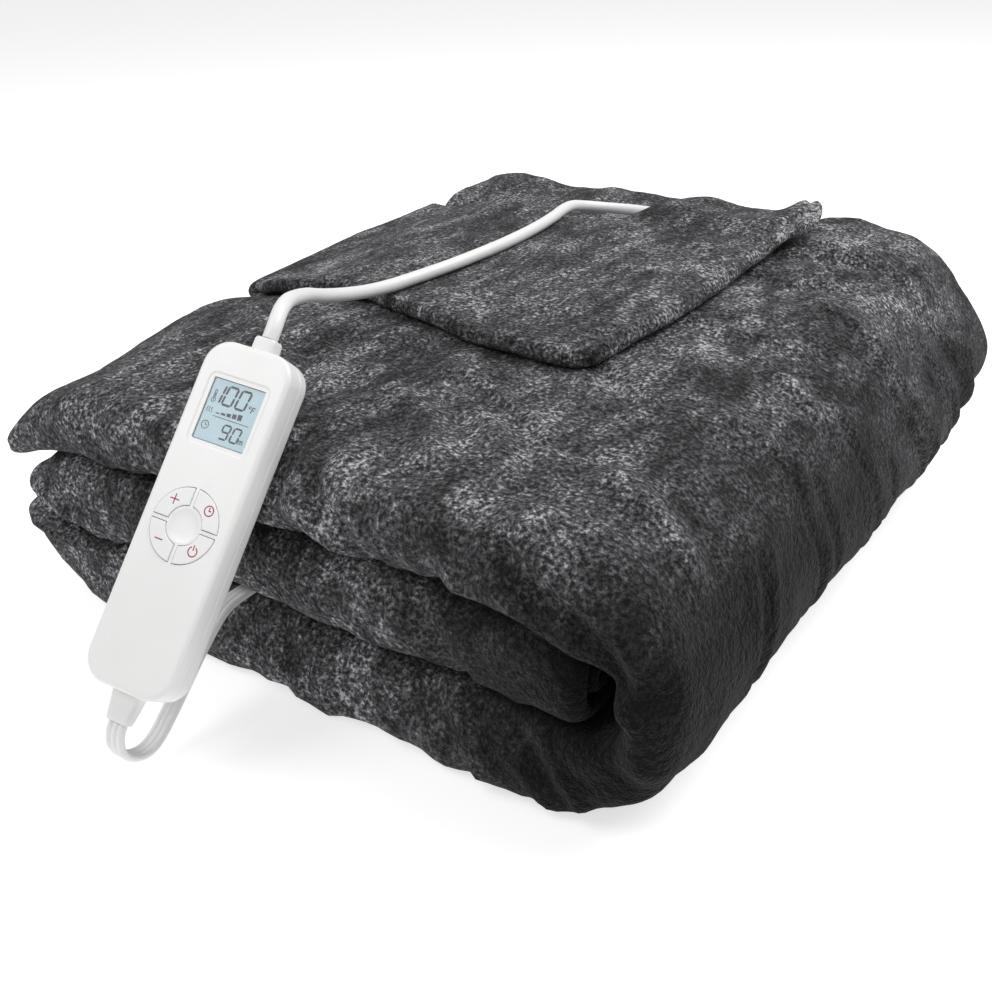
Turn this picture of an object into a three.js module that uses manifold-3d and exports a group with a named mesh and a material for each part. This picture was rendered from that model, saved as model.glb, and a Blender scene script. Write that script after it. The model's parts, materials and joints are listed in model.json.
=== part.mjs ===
// Folded heated throw with its hand controller, connector and leads.
// Units are millimetres and +Z is up. The origin lies on the surface that the throw rests on,
// under the middle of the folded block. -Y is the front, where the bands' closed folds are.
import * as THREE from 'three';
import { mergeVertices } from 'three/addons/utils/BufferGeometryUtils.js';
import Module from 'manifold-3d';

const wasm = await Module();
wasm.setup();

// Clearances
const touchGap = 0.3; // between pieces that rest against each other
const keyGap = 0.35; // round each key in the front shell

// Folded throw: a strip of four plush layers, rolled into three bands like a letter
const throwWidth = 380;
const throwDepth = 454;
const bandThickness = 41;
const leadSlot = 4.2; // between the middle and the bottom band, held open by the supply lead
const bandGap = 0.8; // between the top and the middle band
const wireGap = 2.4; // between the two halves of the strip
const foldCap = 14; // depth of the closed fold at the front
const edgeChamfer = 16;

// Corner of the throw that is folded back over the top band
const flapThickness = 10;
const flapRight = 92;
const flapTipFront = -92;
const flapBack = 194;
const flapRise = 0.6; // air under the flap

// Heating wire
const wireSize = 1.8;
const wireRuns = 6;
const wireEdge = 52; // from the front and back edges to the outer runs
const wireEndMargin = 12;

// Connector under the flap
const connectorWidth = 22;
const connectorHeight = 12;
const connectorLength = 36;
const connectorBootLength = 18;
const inletLength = 22;
const connectorY = 157;
const connectorBootX = -2;
const pinRadius = 1.2;
const pinSpacing = 10;
const pinLength = 12;

// Round lead between the connector and the controller
const outputLeadDiameter = 7;

// Flat ribbed lead between the controller and the plug
const supplyLeadWidth = 9.2;
const supplyLeadThickness = 3.4;

// Controller, drawn in its own frame: x across, y along, z out of the face at z = 0
const caseWidth = 44.2;
const caseLength = 153;
const caseThickness = 17.5;
const caseCorner = 12;
const caseBevel = 1.5;
const caseWall = 2;
const caseSplit = 9.6; // depth of the front shell's rim below the face
const controllerFromEdge = [-22.3, -25.1, -23.4]; // from the middle of the top band's front edge
const controllerYaw = THREE.MathUtils.degToRad(13.7);
const controllerTilt = THREE.MathUtils.degToRad(50.2);
const controllerRoll = THREE.MathUtils.degToRad(-9.3);

// Display
const windowWidth = 26.4;
const windowHeight = 27.7;
const windowY = 46;
const windowInset = 0.6;
const windowPlate = 1.7;
const windowFlange = 1.8;
const flangeThickness = 1;
const lcdThickness = 1.8;
const holderWall = 2.2;

// Keys
const keyRingY = -4;
const keyOuter = 16.3;
const keyInner = 8.7;
const keySpacing = 2.2;
const keyProud = 0.5;
const keyFlange = 0.8;
const keyTravel = 0.5;
const switchSize = 5.2;
const switchHeight = 2;
const stemRadius = 1.3;
const stemClearance = 0.35;

// Circuit board
const boardTop = -6.6;
const boardThickness = 1.6;
const boardWidth = 34;
const boardLength = 126;
const postRadius = 1.8;

// Case screws and their bosses
const bossRadius = 2.9;
const screwRadius = 1.1;
const screwHeadRadius = 2.2;
const screwHeadHeight = 1.7;
const screwX = caseWidth / 2 - 6.7;
const screwY = caseLength / 2 - 7.5;

// Lead boots on the controller
const outputBoot = { width: 10.5, thickness: 8.4, length: 6 };
const supplyBoot = { wide: 15.2, narrow: 11.8, thickness: 6.4, length: 13 };
const bootNeck = { width: 7, thickness: 5 };
const bootFlange = { width: 12.5, thickness: 7.5, length: 3 };

// Coil of the supply lead, behind the throw
const coilInner = 45.9;
const coilOuter = 61.1;
const coilBottom = 1.3;
const coilHeight = 9.4;
const coilX = -68;
const coilBehind = 8; // air between the throw's back edge and the coil
const tieWidth = 10;
const tieThickness = 0.8;
const tieClearance = 0.6;

// Plug
const plug = { width: 26, height: 15, length: 31 };
const plugBoot = { width: 12, height: 9, length: 14 };
const blade = { thickness: 1.5, height: 6.4, length: 16, spacing: 12.7 };
const plugEntry = [-125.3, 348]; // where the lead's end meets the plug's boot
const plugFloorGap = 0.3;

// The two leads' routes, from the controller outwards
const outputLeadPoints = [
  [-23.3, -191.3, 162.2], [-23.4, -188.2, 165.8], [-26, -181, 170.4], [-31.6, -171, 171],
  [-39, -158, 168], [-46, -143, 163.5], [-52.5, -126, 157], [-57, -107, 151],
  [-58.8, -88, 146.4], [-58.5, -68, 143.6], [-56.5, -47, 142.6], [-53, -24, 142.5],
  [-50.5, 0, 142.5], [-49, 25, 142.5], [-49, 50, 142.5], [-50.3, 72, 142.5],
  [-53, 93, 142.6], [-56, 110, 142.7], [-56.6, 122, 142], [-54.5, 134, 139.4],
  [-49, 145, 136.7], [-40, 152.5, 135], [-29, 156.3, 134.4], [-16, 157, 134.3],
  [-2.3, 157, 134.3],
];
const supplyLoopPoints = [
  [-24.6, -304.5, 30.5], [-24.6, -306.2, 28.5], [-24.8, -308, 21.7], [-25, -306, 14.7],
  [-25.3, -300.7, 9.6], [-25.8, -293.7, 7.7], [-26.6, -286.7, 9.6], [-27.8, -276, 16.6],
  [-29.3, -265, 24.4], [-31, -254, 32], [-32.6, -244, 38], [-34, -235, 42],
  [-35, -226, 43.1], [-35, -213, 43.1], [-35, -200.3, 43.1],
];
const supplyLeadPoints = [
  [-35, -200, 43.1], [-35, -100, 43.1], [-35, 0, 43.1], [-35, 100, 43.1], [-35, 200, 43.1],
  [-35, 226, 43.1], [-35, 238, 42.3], [-35, 249, 39], [-35, 259, 33], [-35, 268, 25.5],
  [-35, 277, 17.5], [-35, 286, 11], [-35.3, 296, 7.2], [-37.5, 313.5, 6], [-49, 328.5, 6],
  [-64, 336.7, 6],
];
const supplyTailPoints = [
  [-98, 355.2, 6], [-104, 353.2, 6.3], [-111, 350.6, 7], [-118, 348.5, 7.7], [-124.8, 348, 7.8],
];

// Worked-out places
const stripHalf = bandThickness / 2;
const bottomBandZ = stripHalf;
const middleBandZ = bottomBandZ + bandThickness + leadSlot;
const topBandZ = middleBandZ + bandThickness + bandGap;
const topZ = topBandZ + stripHalf;
const leftTurn = { z: (middleBandZ + bottomBandZ) / 2, radius: (middleBandZ - bottomBandZ) / 2 };
const rightTurn = { z: (topBandZ + bottomBandZ) / 2, radius: (topBandZ - bottomBandZ) / 2 };
leftTurn.x = -throwWidth / 2 + leftTurn.radius + stripHalf;
rightTurn.x = throwWidth / 2 - rightTurn.radius - stripHalf;
const frontY = -throwDepth / 2;
const backY = throwDepth / 2;
const cordDepth = -caseThickness / 2; // middle of the leads inside the controller
const caseEnd = caseLength / 2;
const boardBottom = boardTop - boardThickness;

// ---- Solids -------------------------------------------------------------------------------

function solidFrom(geometry) {
  const bare = geometry.clone();
  for (const name of ['normal', 'uv']) bare.deleteAttribute(name);
  const merged = mergeVertices(bare, 1e-4);
  const vertProperties = new Float32Array(merged.attributes.position.array);
  const triVerts = new Uint32Array(merged.index.array);
  const solid = new wasm.Manifold(new wasm.Mesh({ numProp: 3, vertProperties, triVerts }));
  if (solid.volume() > 0) return solid;
  for (let i = 0; i < triVerts.length; i += 3) {
    [triVerts[i], triVerts[i + 1]] = [triVerts[i + 1], triVerts[i]];
  }
  return new wasm.Manifold(new wasm.Mesh({ numProp: 3, vertProperties, triVerts }));
}

function geometryFrom(solid) {
  const mesh = solid.getMesh();
  const geometry = new THREE.BufferGeometry();
  geometry.setAttribute('position', new THREE.BufferAttribute(mesh.vertProperties, 3));
  geometry.setIndex(new THREE.BufferAttribute(mesh.triVerts, 1));
  geometry.computeVertexNormals();
  return geometry;
}

function join(first, ...others) {
  return others.reduce((whole, other) => whole.add(other), first);
}

function cut(first, ...tools) {
  return tools.reduce((whole, tool) => whole.subtract(tool), first);
}

// A box given by its low and high corners
function block([x0, y0, z0], [x1, y1, z1]) {
  const geometry = new THREE.BoxGeometry(x1 - x0, y1 - y0, z1 - z0);
  geometry.translate((x0 + x1) / 2, (y0 + y1) / 2, (z0 + z1) / 2);
  return solidFrom(geometry);
}

// A flat outline in XY, raised from z0 to z1; a bevel rounds the edge at the chosen end
function plate(shape, z0, z1, { bevel = 0, curveSegments = 6 } = {}) {
  const geometry = new THREE.ExtrudeGeometry(shape, {
    depth: z1 - z0 - 2 * bevel,
    curveSegments,
    bevelEnabled: bevel > 0,
    bevelThickness: bevel,
    bevelSize: bevel,
    bevelOffset: -bevel,
    bevelSegments: 3,
  });
  geometry.translate(0, 0, z0 + bevel);
  return solidFrom(geometry);
}

function rod(radius, z0, z1, x = 0, y = 0, sides = 12) {
  const geometry = new THREE.CylinderGeometry(radius, radius, z1 - z0, sides);
  geometry.rotateX(Math.PI / 2);
  geometry.translate(x, y, (z0 + z1) / 2);
  return solidFrom(geometry);
}

function roundedRectangle(width, height, radius, x = 0, y = 0) {
  const [w, h] = [width / 2, height / 2];
  const shape = new THREE.Shape();
  shape.moveTo(x - w + radius, y - h);
  shape.lineTo(x + w - radius, y - h);
  shape.absarc(x + w - radius, y - h + radius, radius, -Math.PI / 2, 0, false);
  shape.lineTo(x + w, y + h - radius);
  shape.absarc(x + w - radius, y + h - radius, radius, 0, Math.PI / 2, false);
  shape.lineTo(x - w + radius, y + h);
  shape.absarc(x - w + radius, y + h - radius, radius, Math.PI / 2, Math.PI, false);
  shape.lineTo(x - w, y - h + radius);
  shape.absarc(x - w + radius, y - h + radius, radius, Math.PI, Math.PI * 1.5, false);
  return shape;
}

function polygon(points) {
  return new THREE.Shape(points.map(([x, y]) => new THREE.Vector2(x, y)));
}

// A rounded rectangle drawn with few points, for the section of a lead
function leadSection(width, thickness) {
  const shape = new THREE.Shape();
  const sides = 5;
  const round = Math.min(width, thickness) / 2;
  const [ex, ey] = [width / 2 - round, thickness / 2 - round];
  for (let i = 0; i < 2 * sides; i += 1) {
    const angle = ((i + 0.5) / sides) * Math.PI;
    const [c, s] = [Math.cos(angle), Math.sin(angle)];
    const [x, y] = [round * c + Math.sign(c) * ex, round * s + Math.sign(s) * ey];
    if (i === 0) shape.moveTo(x, y);
    else shape.lineTo(x, y);
  }
  shape.closePath();
  return shape;
}

// A lead along a smooth curve, its width kept level
function leadTube(points, steps, width, thickness) {
  const curve = new THREE.CatmullRomCurve3(points.map((p) => new THREE.Vector3(...p)), false, 'centripetal');
  const levelFirst = Math.abs(curve.computeFrenetFrames(1, false).normals[0].z) < 0.7;
  const shape = levelFirst ? leadSection(width, thickness) : leadSection(thickness, width);
  return solidFrom(new THREE.ExtrudeGeometry(shape, { steps, extrudePath: curve }));
}

const assembly = new THREE.Group();
const finishes = {
  plush: { color: 0x3c3b3d, roughness: 0.95, metalness: 0 },
  backing: { color: 0x38373a, roughness: 0.95, metalness: 0 },
  wireCoat: { color: 0xc8b48c, roughness: 0.6, metalness: 0 },
  whiteShell: { color: 0xf0f0ee, roughness: 0.32, metalness: 0 },
  whiteLead: { color: 0xeaeae8, roughness: 0.45, metalness: 0 },
  whiteBoot: { color: 0xe8e8e6, roughness: 0.5, metalness: 0 },
  clearLens: { color: 0xe6eef2, roughness: 0.06, metalness: 0 },
  lcdFace: { color: 0xb9cfd8, roughness: 0.25, metalness: 0 },
  palePlastic: { color: 0xd8dad6, roughness: 0.6, metalness: 0 },
  board: { color: 0x1f5b38, roughness: 0.5, metalness: 0 },
  blackPart: { color: 0x1b1b1d, roughness: 0.5, metalness: 0 },
  capacitorCase: { color: 0xb08a2e, roughness: 0.4, metalness: 0 },
  steel: { color: 0xb4b6ba, roughness: 0.35, metalness: 1 },
  brass: { color: 0xc9a85a, roughness: 0.3, metalness: 1 },
};
const surfaces = Object.fromEntries(
  Object.entries(finishes).map(([name, look]) => [name, new THREE.MeshStandardMaterial(look)]),
);

function addPiece(parent, name, solid, surface) {
  const mesh = new THREE.Mesh(geometryFrom(solid), surfaces[surface]);
  mesh.name = name;
  parent.add(mesh);
}

// ---- Controller frame ---------------------------------------------------------------------

const controller = new THREE.Group();
controller.quaternion
  .setFromAxisAngle(new THREE.Vector3(0, 0, 1), controllerYaw)
  .multiply(new THREE.Quaternion().setFromAxisAngle(new THREE.Vector3(1, 0, 0), controllerTilt))
  .multiply(new THREE.Quaternion().setFromAxisAngle(new THREE.Vector3(0, 0, 1), controllerRoll));
controller.position.set(
  controllerFromEdge[0],
  frontY + controllerFromEdge[1],
  topZ + controllerFromEdge[2],
);
controller.updateMatrix();
assembly.add(controller);

// The space that the controller presses out of the throw
function controllerDent() {
  const outline = roundedRectangle(
    caseWidth + 2 * touchGap,
    caseLength + 2 * touchGap,
    caseCorner + touchGap,
  );
  const dent = plate(outline, -caseThickness - touchGap, caseThickness);
  return dent.transform(controller.matrix.elements);
}

// ---- Throw --------------------------------------------------------------------------------

// The rolled strip between two distances from its middle line, as an outline in XZ
function bandOutline(inner, outer, endShort) {
  const shape = new THREE.Shape();
  const innerEnd = rightTurn.x - endShort;
  const freeEnd = -throwWidth / 2 + endShort;
  shape.moveTo(innerEnd, middleBandZ + outer);
  shape.lineTo(leftTurn.x, middleBandZ + outer);
  shape.absarc(leftTurn.x, leftTurn.z, leftTurn.radius + outer, Math.PI / 2, Math.PI * 1.5, false);
  shape.lineTo(rightTurn.x, bottomBandZ - outer);
  shape.absarc(rightTurn.x, rightTurn.z, rightTurn.radius + outer, -Math.PI / 2, Math.PI / 2, false);
  shape.lineTo(freeEnd, topBandZ + outer);
  shape.lineTo(freeEnd, topBandZ + inner);
  shape.lineTo(rightTurn.x, topBandZ + inner);
  shape.absarc(rightTurn.x, rightTurn.z, rightTurn.radius + inner, Math.PI / 2, -Math.PI / 2, true);
  shape.lineTo(leftTurn.x, bottomBandZ - inner);
  shape.absarc(leftTurn.x, leftTurn.z, leftTurn.radius + inner, Math.PI * 1.5, Math.PI / 2, true);
  shape.lineTo(innerEnd, middleBandZ + inner);
  return shape;
}

// That outline, run from y0 to y1
function bandSolid(inner, outer, y0, y1, endShort = 0) {
  const geometry = new THREE.ExtrudeGeometry(bandOutline(inner, outer, endShort), {
    depth: y1 - y0,
    curveSegments: 8,
    bevelEnabled: false,
  });
  geometry.rotateX(Math.PI / 2);
  geometry.translate(0, y1, 0);
  return solidFrom(geometry);
}

// A prism that takes the corner off the top band's front edge
function frontEdgeCut() {
  const corner = polygon([
    [frontY - 1, topZ - edgeChamfer - 1],
    [frontY + edgeChamfer + 1, topZ + 1],
    [frontY - 1, topZ + 1],
  ]);
  const geometry = new THREE.ExtrudeGeometry(corner, { depth: 2 * throwWidth, bevelEnabled: false });
  geometry.rotateX(Math.PI / 2);
  geometry.rotateZ(Math.PI / 2);
  geometry.translate(-throwWidth, 0, 0);
  return solidFrom(geometry);
}

const flapBottom = topZ + flapRise;
const flapTop = flapBottom + flapThickness;
const connectorBottom = topZ + touchGap;
const connectorTop = connectorBottom + connectorHeight;
const inletX = connectorBootX + connectorBootLength + connectorLength + 2 * touchGap;
const inletEnd = inletX + inletLength;

// The folded-back corner, with a hump over the connector and a fold down to the top band
function flapSolid() {
  const left = -throwWidth / 2;
  const outline = polygon([
    [left, -40], [-60, -67], [50, flapTipFront], [flapRight - 12, flapTipFront + 22],
    [flapRight, flapBack - 4], [40, flapBack], [-12, 135], [-45, 112], [left, 145],
  ]);
  const slab = plate(outline, flapBottom, flapTop);
  const sideRoom = connectorWidth / 2 + touchGap;
  const humpWall = 4;
  const humpTop = connectorTop + touchGap + flapThickness;
  const hump = block(
    [5, connectorY - sideRoom - humpWall, flapBottom],
    [inletEnd + touchGap + humpWall, connectorY + sideRoom + humpWall, humpTop],
  );
  const tunnel = block(
    [connectorBootX - 28, connectorY - sideRoom, topZ],
    [inletEnd + touchGap, connectorY + sideRoom, connectorTop + touchGap],
  );
  const leftFold = block([left - 8, -40, topZ - stripHalf / 2], [left + 1, 145, flapTop]);
  return join(cut(join(slab, hump), tunnel), leftFold);
}

function faceFabric() {
  const halfGap = wireGap / 2;
  const outerHalf = bandSolid(halfGap, stripHalf, frontY, backY);
  const closedFold = bandSolid(-stripHalf, stripHalf, frontY, frontY + foldCap);
  return cut(join(outerHalf, closedFold, flapSolid()), frontEdgeCut(), controllerDent());
}

function backingFabric() {
  return bandSolid(-stripHalf, -wireGap / 2, frontY + foldCap + touchGap, backY);
}

// Parallel runs that follow the rolled strip, joined in turn at either end
function heatingWire() {
  const half = wireSize / 2;
  const first = frontY + wireEdge;
  const pitch = (throwDepth - 2 * wireEdge) / (wireRuns - 1);
  const innerEnd = rightTurn.x - wireEndMargin;
  const freeEnd = -throwWidth / 2 + wireEndMargin;
  let wire = null;
  for (let i = 0; i < wireRuns; i += 1) {
    const y = first + i * pitch;
    const run = bandSolid(-half, half, y - half, y + half, wireEndMargin);
    wire = wire ? join(wire, run) : run;
    if (i === wireRuns - 1) continue;
    const atInner = i % 2 === 0;
    const x0 = atInner ? innerEnd - wireSize : freeEnd;
    const z = atInner ? middleBandZ : topBandZ;
    wire = join(wire, block([x0, y - half, z - half], [x0 + wireSize, y + pitch + half, z + half]));
  }
  return wire;
}

addPiece(assembly, 'face_fabric', faceFabric(), 'plush');
addPiece(assembly, 'backing_fabric', backingFabric(), 'backing');
addPiece(assembly, 'heating_wire', heatingWire(), 'wireCoat');

// ---- Connector and inlet under the flap ---------------------------------------------------

const pinZ = connectorBottom + connectorHeight / 2;

function lyingRod(radius, x0, x1, y, z, sides = 10) {
  const geometry = new THREE.CylinderGeometry(radius, radius, x1 - x0, sides);
  geometry.rotateZ(Math.PI / 2);
  geometry.translate((x0 + x1) / 2, y, z);
  return solidFrom(geometry);
}

function connectorBox(x0, x1, width, height) {
  const low = [x0, connectorY - width / 2, pinZ - height / 2];
  return block(low, [x1, connectorY + width / 2, pinZ + height / 2]);
}

const pinYs = [connectorY - pinSpacing / 2, connectorY + pinSpacing / 2];
const bodyX = connectorBootX + connectorBootLength + touchGap;
const bodyEnd = bodyX + connectorLength;
const sockets = pinYs.map((y) => lyingRod(pinRadius + touchGap, bodyEnd - pinLength, bodyEnd + 1, y, pinZ));
const seats = pinYs.map((y) => lyingRod(pinRadius + touchGap, inletX - 1, inletX + inletLength / 2, y, pinZ));
const boot = join(
  connectorBox(connectorBootX, bodyX - touchGap, connectorWidth * 0.55, connectorHeight * 0.8),
  connectorBox(bodyX - touchGap - 5, bodyX - touchGap, connectorWidth * 0.8, connectorHeight * 0.9),
);
addPiece(assembly, 'connector_boot', boot, 'whiteBoot');
addPiece(
  assembly,
  'connector_body',
  cut(connectorBox(bodyX, bodyEnd, connectorWidth, connectorHeight), ...sockets),
  'whiteShell',
);
addPiece(
  assembly,
  'inlet_body',
  cut(connectorBox(inletX, inletEnd, connectorWidth, connectorHeight), ...seats),
  'whiteShell',
);
['front', 'back'].forEach((side, i) => {
  const pin = lyingRod(pinRadius, bodyEnd - pinLength + 1, inletX + inletLength / 2 - 1, pinYs[i], pinZ);
  addPiece(assembly, `inlet_pin_${side}`, pin, 'brass');
});

// ---- Controller ---------------------------------------------------------------------------

// One key's outline in the first quarter, grown by an even margin
function keyOutline(margin) {
  const inner = keyInner - margin;
  const outer = keyOuter + margin;
  const side = keySpacing / 2 - margin;
  const [innerTurn, outerTurn] = [Math.asin(side / inner), Math.asin(side / outer)];
  const shape = new THREE.Shape();
  shape.moveTo(inner * Math.cos(innerTurn), side);
  shape.lineTo(outer * Math.cos(outerTurn), side);
  shape.absarc(0, 0, outer, outerTurn, Math.PI / 2 - outerTurn, false);
  shape.lineTo(side, inner * Math.cos(innerTurn));
  shape.absarc(0, 0, inner, Math.PI / 2 - innerTurn, innerTurn, true);
  return shape;
}

// A solid turned by quarters about the key ring's middle
function atQuarter(solid, quarter) {
  const turn = new THREE.Matrix4().makeRotationZ((quarter * Math.PI) / 2);
  turn.setPosition(0, keyRingY, 0);
  return solid.transform(turn.elements);
}

const screwPlaces = [[-1, -1], [1, -1], [1, 1], [-1, 1]].map(([sx, sy]) => [sx * screwX, sy * screwY]);
const postX = boardWidth / 2 - postRadius - 0.5;
const boardPosts = [-postX, postX].flatMap((x) => [
  [x, -boardLength / 2 + 4 * postRadius],
  [x, windowY - windowHeight / 2 - windowFlange - holderWall - 3 * postRadius],
]);

// The part of a boot that lies in the case wall, grown by the touching gap on request
function bootInWall(end, margin) {
  const wallOut = caseEnd + touchGap;
  const wallIn = caseEnd - caseWall - touchGap;
  const neckBox = (width, thickness, from, to) => block(
    [-width / 2 - margin, Math.min(end * from, end * to) - margin, cordDepth - thickness / 2 - margin],
    [width / 2 + margin, Math.max(end * from, end * to) + margin, cordDepth + thickness / 2 + margin],
  );
  return join(
    neckBox(bootNeck.width, bootNeck.thickness, wallIn - 0.5, wallOut + 0.5),
    neckBox(bootFlange.width, bootFlange.thickness, wallIn - bootFlange.length, wallIn),
  );
}

function outputBootSolid() {
  const { width, thickness, length } = outputBoot;
  const start = caseEnd + touchGap;
  const collar = block(
    [-width / 2, start, cordDepth - thickness / 2],
    [width / 2, start + length, cordDepth + thickness / 2],
  );
  return join(collar, bootInWall(1, 0));
}

function supplyBootSolid() {
  const { wide, narrow, thickness, length } = supplyBoot;
  const start = -caseEnd - touchGap;
  const outline = polygon([
    [-narrow / 2, start - length], [narrow / 2, start - length], [wide / 2, start], [-wide / 2, start],
  ]);
  const taper = plate(outline, cordDepth - thickness / 2, cordDepth + thickness / 2);
  return join(taper, bootInWall(-1, 0));
}

function shellCavity(z0, z1) {
  const inside = roundedRectangle(caseWidth - 2 * caseWall, caseLength - 2 * caseWall, caseCorner - caseWall);
  return plate(inside, z0, z1, { curveSegments: 4 });
}

function frontShell() {
  const outline = roundedRectangle(caseWidth, caseLength, caseCorner);
  const blank = plate(outline, -caseSplit - 2 * caseBevel, 0, { bevel: caseBevel });
  const rim = block([-caseWidth, -caseLength, -2 * caseSplit], [caseWidth, caseLength, -caseSplit]);
  const roof = -caseWall;
  const bosses = screwPlaces.map(([x, y]) => rod(bossRadius, -caseSplit, roof + 0.5, x, y));
  const posts = boardPosts.map(([x, y]) => rod(postRadius, boardTop + touchGap, roof + 0.5, x, y));
  const pilots = screwPlaces.map(([x, y]) => rod(screwRadius + touchGap, -2 * caseSplit, -caseWall - 1.5, x, y));
  const opening = block(
    [-windowWidth / 2, windowY - windowHeight / 2, -2 * caseWall],
    [windowWidth / 2, windowY + windowHeight / 2, 1],
  );
  const keyHole = plate(keyOutline(keyGap), -2 * caseWall, 1);
  const keyHoles = [0, 1, 2, 3].map((quarter) => atQuarter(keyHole, quarter));
  return cut(
    join(cut(blank, rim, shellCavity(-2 * caseSplit, roof)), ...bosses, ...posts),
    opening,
    ...pilots,
    ...keyHoles,
    bootInWall(1, touchGap),
    bootInWall(-1, touchGap),
  );
}

function backShell() {
  const outline = roundedRectangle(caseWidth, caseLength, caseCorner);
  const top = -caseSplit - touchGap;
  const floor = -caseThickness + caseWall;
  const blank = plate(outline, -caseThickness, top + 2 * caseBevel, { bevel: caseBevel });
  const rim = block([-caseWidth, -caseLength, top], [caseWidth, caseLength, caseThickness]);
  const bosses = screwPlaces.map(([x, y]) => rod(bossRadius, floor - 0.5, top, x, y));
  const posts = boardPosts.map(([x, y]) => rod(postRadius, floor - 0.5, boardBottom - touchGap, x, y));
  const bores = screwPlaces.map(([x, y]) => rod(screwRadius + touchGap, -2 * caseThickness, 0, x, y));
  const headSink = -caseThickness + screwHeadHeight + 2 * touchGap;
  const sinks = screwPlaces.map(([x, y]) => (
    rod(screwHeadRadius + touchGap, -2 * caseThickness, headSink, x, y)
  ));
  return cut(
    join(cut(blank, rim, shellCavity(floor, caseThickness)), ...bosses, ...posts),
    ...bores,
    ...sinks,
    bootInWall(1, touchGap),
    bootInWall(-1, touchGap),
  );
}

// A flat block centred on the display
function displayBlock(width, height, z0, z1) {
  return block([-width / 2, windowY - height / 2, z0], [width / 2, windowY + height / 2, z1]);
}

addPiece(controller, 'front_shell', frontShell(), 'whiteShell');
addPiece(controller, 'back_shell', backShell(), 'whiteShell');
addPiece(controller, 'output_boot', outputBootSolid(), 'whiteBoot');
addPiece(controller, 'supply_boot', supplyBootSolid(), 'whiteBoot');

const flangeTop = -caseWall - touchGap;
const flangeBottom = flangeTop - flangeThickness;
const lens = join(
  displayBlock(windowWidth - 2 * touchGap, windowHeight - 2 * touchGap, -windowInset - windowPlate, -windowInset),
  displayBlock(windowWidth + 2 * windowFlange, windowHeight + 2 * windowFlange, flangeBottom, flangeTop),
);
const lcdTop = flangeBottom - touchGap;
const lcdBottom = lcdTop - lcdThickness;
const lcdWidth = windowWidth + 1.6;
const lcdHeight = windowHeight + 2.4;
const holderBottom = boardTop + touchGap;
const holder = cut(
  displayBlock(lcdWidth + 2 * holderWall, lcdHeight + 2 * holderWall, holderBottom, lcdTop),
  displayBlock(lcdWidth + 2 * touchGap, lcdHeight + 2 * touchGap, boardTop, lcdTop + 1),
);
addPiece(controller, 'display_window', lens, 'clearLens');
addPiece(controller, 'lcd_glass', displayBlock(lcdWidth, lcdHeight, lcdBottom, lcdTop), 'lcdFace');
addPiece(controller, 'lcd_holder', holder, 'palePlastic');
addPiece(
  controller,
  'backlight',
  displayBlock(lcdWidth, lcdHeight, holderBottom, lcdBottom - touchGap),
  'palePlastic',
);

const boardCut = screwPlaces.map(([x, y]) => rod(bossRadius + touchGap, 2 * boardTop, 0, x, y));
const board = block([-boardWidth / 2, -boardLength / 2, boardBottom], [boardWidth / 2, boardLength / 2, boardTop]);
addPiece(controller, 'circuit_board', cut(board, ...boardCut), 'board');

// Keys, counted by quarters from the upper right, each over its own switch
const keyNames = ['timer', 'plus', 'minus', 'power'];
const switchTop = boardTop + touchGap + switchHeight;
const stemTop = flangeBottom - touchGap;
const switchPlace = ((keyInner + keyOuter) / 2) * Math.SQRT1_2;
keyNames.forEach((name, quarter) => {
  const cap = plate(keyOutline(0), flangeBottom, keyProud);
  const lip = plate(keyOutline(keyFlange), flangeBottom, flangeTop);
  addPiece(controller, `key_${name}`, atQuarter(join(cap, lip), quarter), 'whiteShell');
  const half = switchSize / 2;
  const body = cut(
    block(
      [switchPlace - half, switchPlace - half, boardTop + touchGap],
      [switchPlace + half, switchPlace + half, switchTop],
    ),
    rod(stemRadius + stemClearance, 2 * boardTop, 0, switchPlace, switchPlace),
  );
  addPiece(controller, `switch_body_${name}`, atQuarter(body, quarter), 'blackPart');
  const stemBottom = boardTop + keyTravel + 2 * touchGap;
  const stem = rod(stemRadius, stemBottom, stemTop, switchPlace, switchPlace);
  addPiece(controller, `switch_stem_${name}`, atQuarter(stem, quarter), 'palePlastic');
});

// Parts on the back of the circuit board: name, middle x and y, width, length, height, surface
const boardParts = [
  ['microcontroller', 0, 4, 10, 10, 1.6, 'blackPart'],
  ['capacitor', -6.5, -50, 13, 7, 5.5, 'capacitorCase'],
  ['triac', 9, -33, 10, 15, 4.6, 'blackPart'],
];
for (const [name, x, y, width, length, height, surface] of boardParts) {
  const top = boardBottom - touchGap;
  const solid = block([x - width / 2, y - length / 2, top - height], [x + width / 2, y + length / 2, top]);
  addPiece(controller, name, solid, surface);
}
const fuseRadius = 2.6;
const fuse = lyingRod(fuseRadius, -16, 4, -38, boardBottom - touchGap - fuseRadius);
addPiece(controller, 'fuse', fuse, 'clearLens');

// Bars that hold the leads' ends against the boots
const clampStart = caseEnd - caseWall - 2 * touchGap - bootFlange.length;
[['output_clamp', 1], ['supply_clamp', -1]].forEach(([name, end]) => {
  const [near, far] = [end * clampStart, end * (clampStart - 3.2)];
  const solid = block(
    [-8, Math.min(near, far), cordDepth - 4],
    [8, Math.max(near, far), cordDepth + 4],
  );
  addPiece(controller, name, solid, 'palePlastic');
});

screwPlaces.forEach(([x, y], i) => {
  const headBottom = -caseThickness + touchGap;
  const solid = join(
    rod(screwHeadRadius, headBottom, headBottom + screwHeadHeight, x, y),
    rod(screwRadius, headBottom + screwHeadHeight - 0.5, -caseWall - 1.5 - touchGap, x, y, 8),
  );
  addPiece(controller, `case_screw_${i + 1}`, solid, 'steel');
});

// ---- Leads, coil and plug -----------------------------------------------------------------

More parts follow.
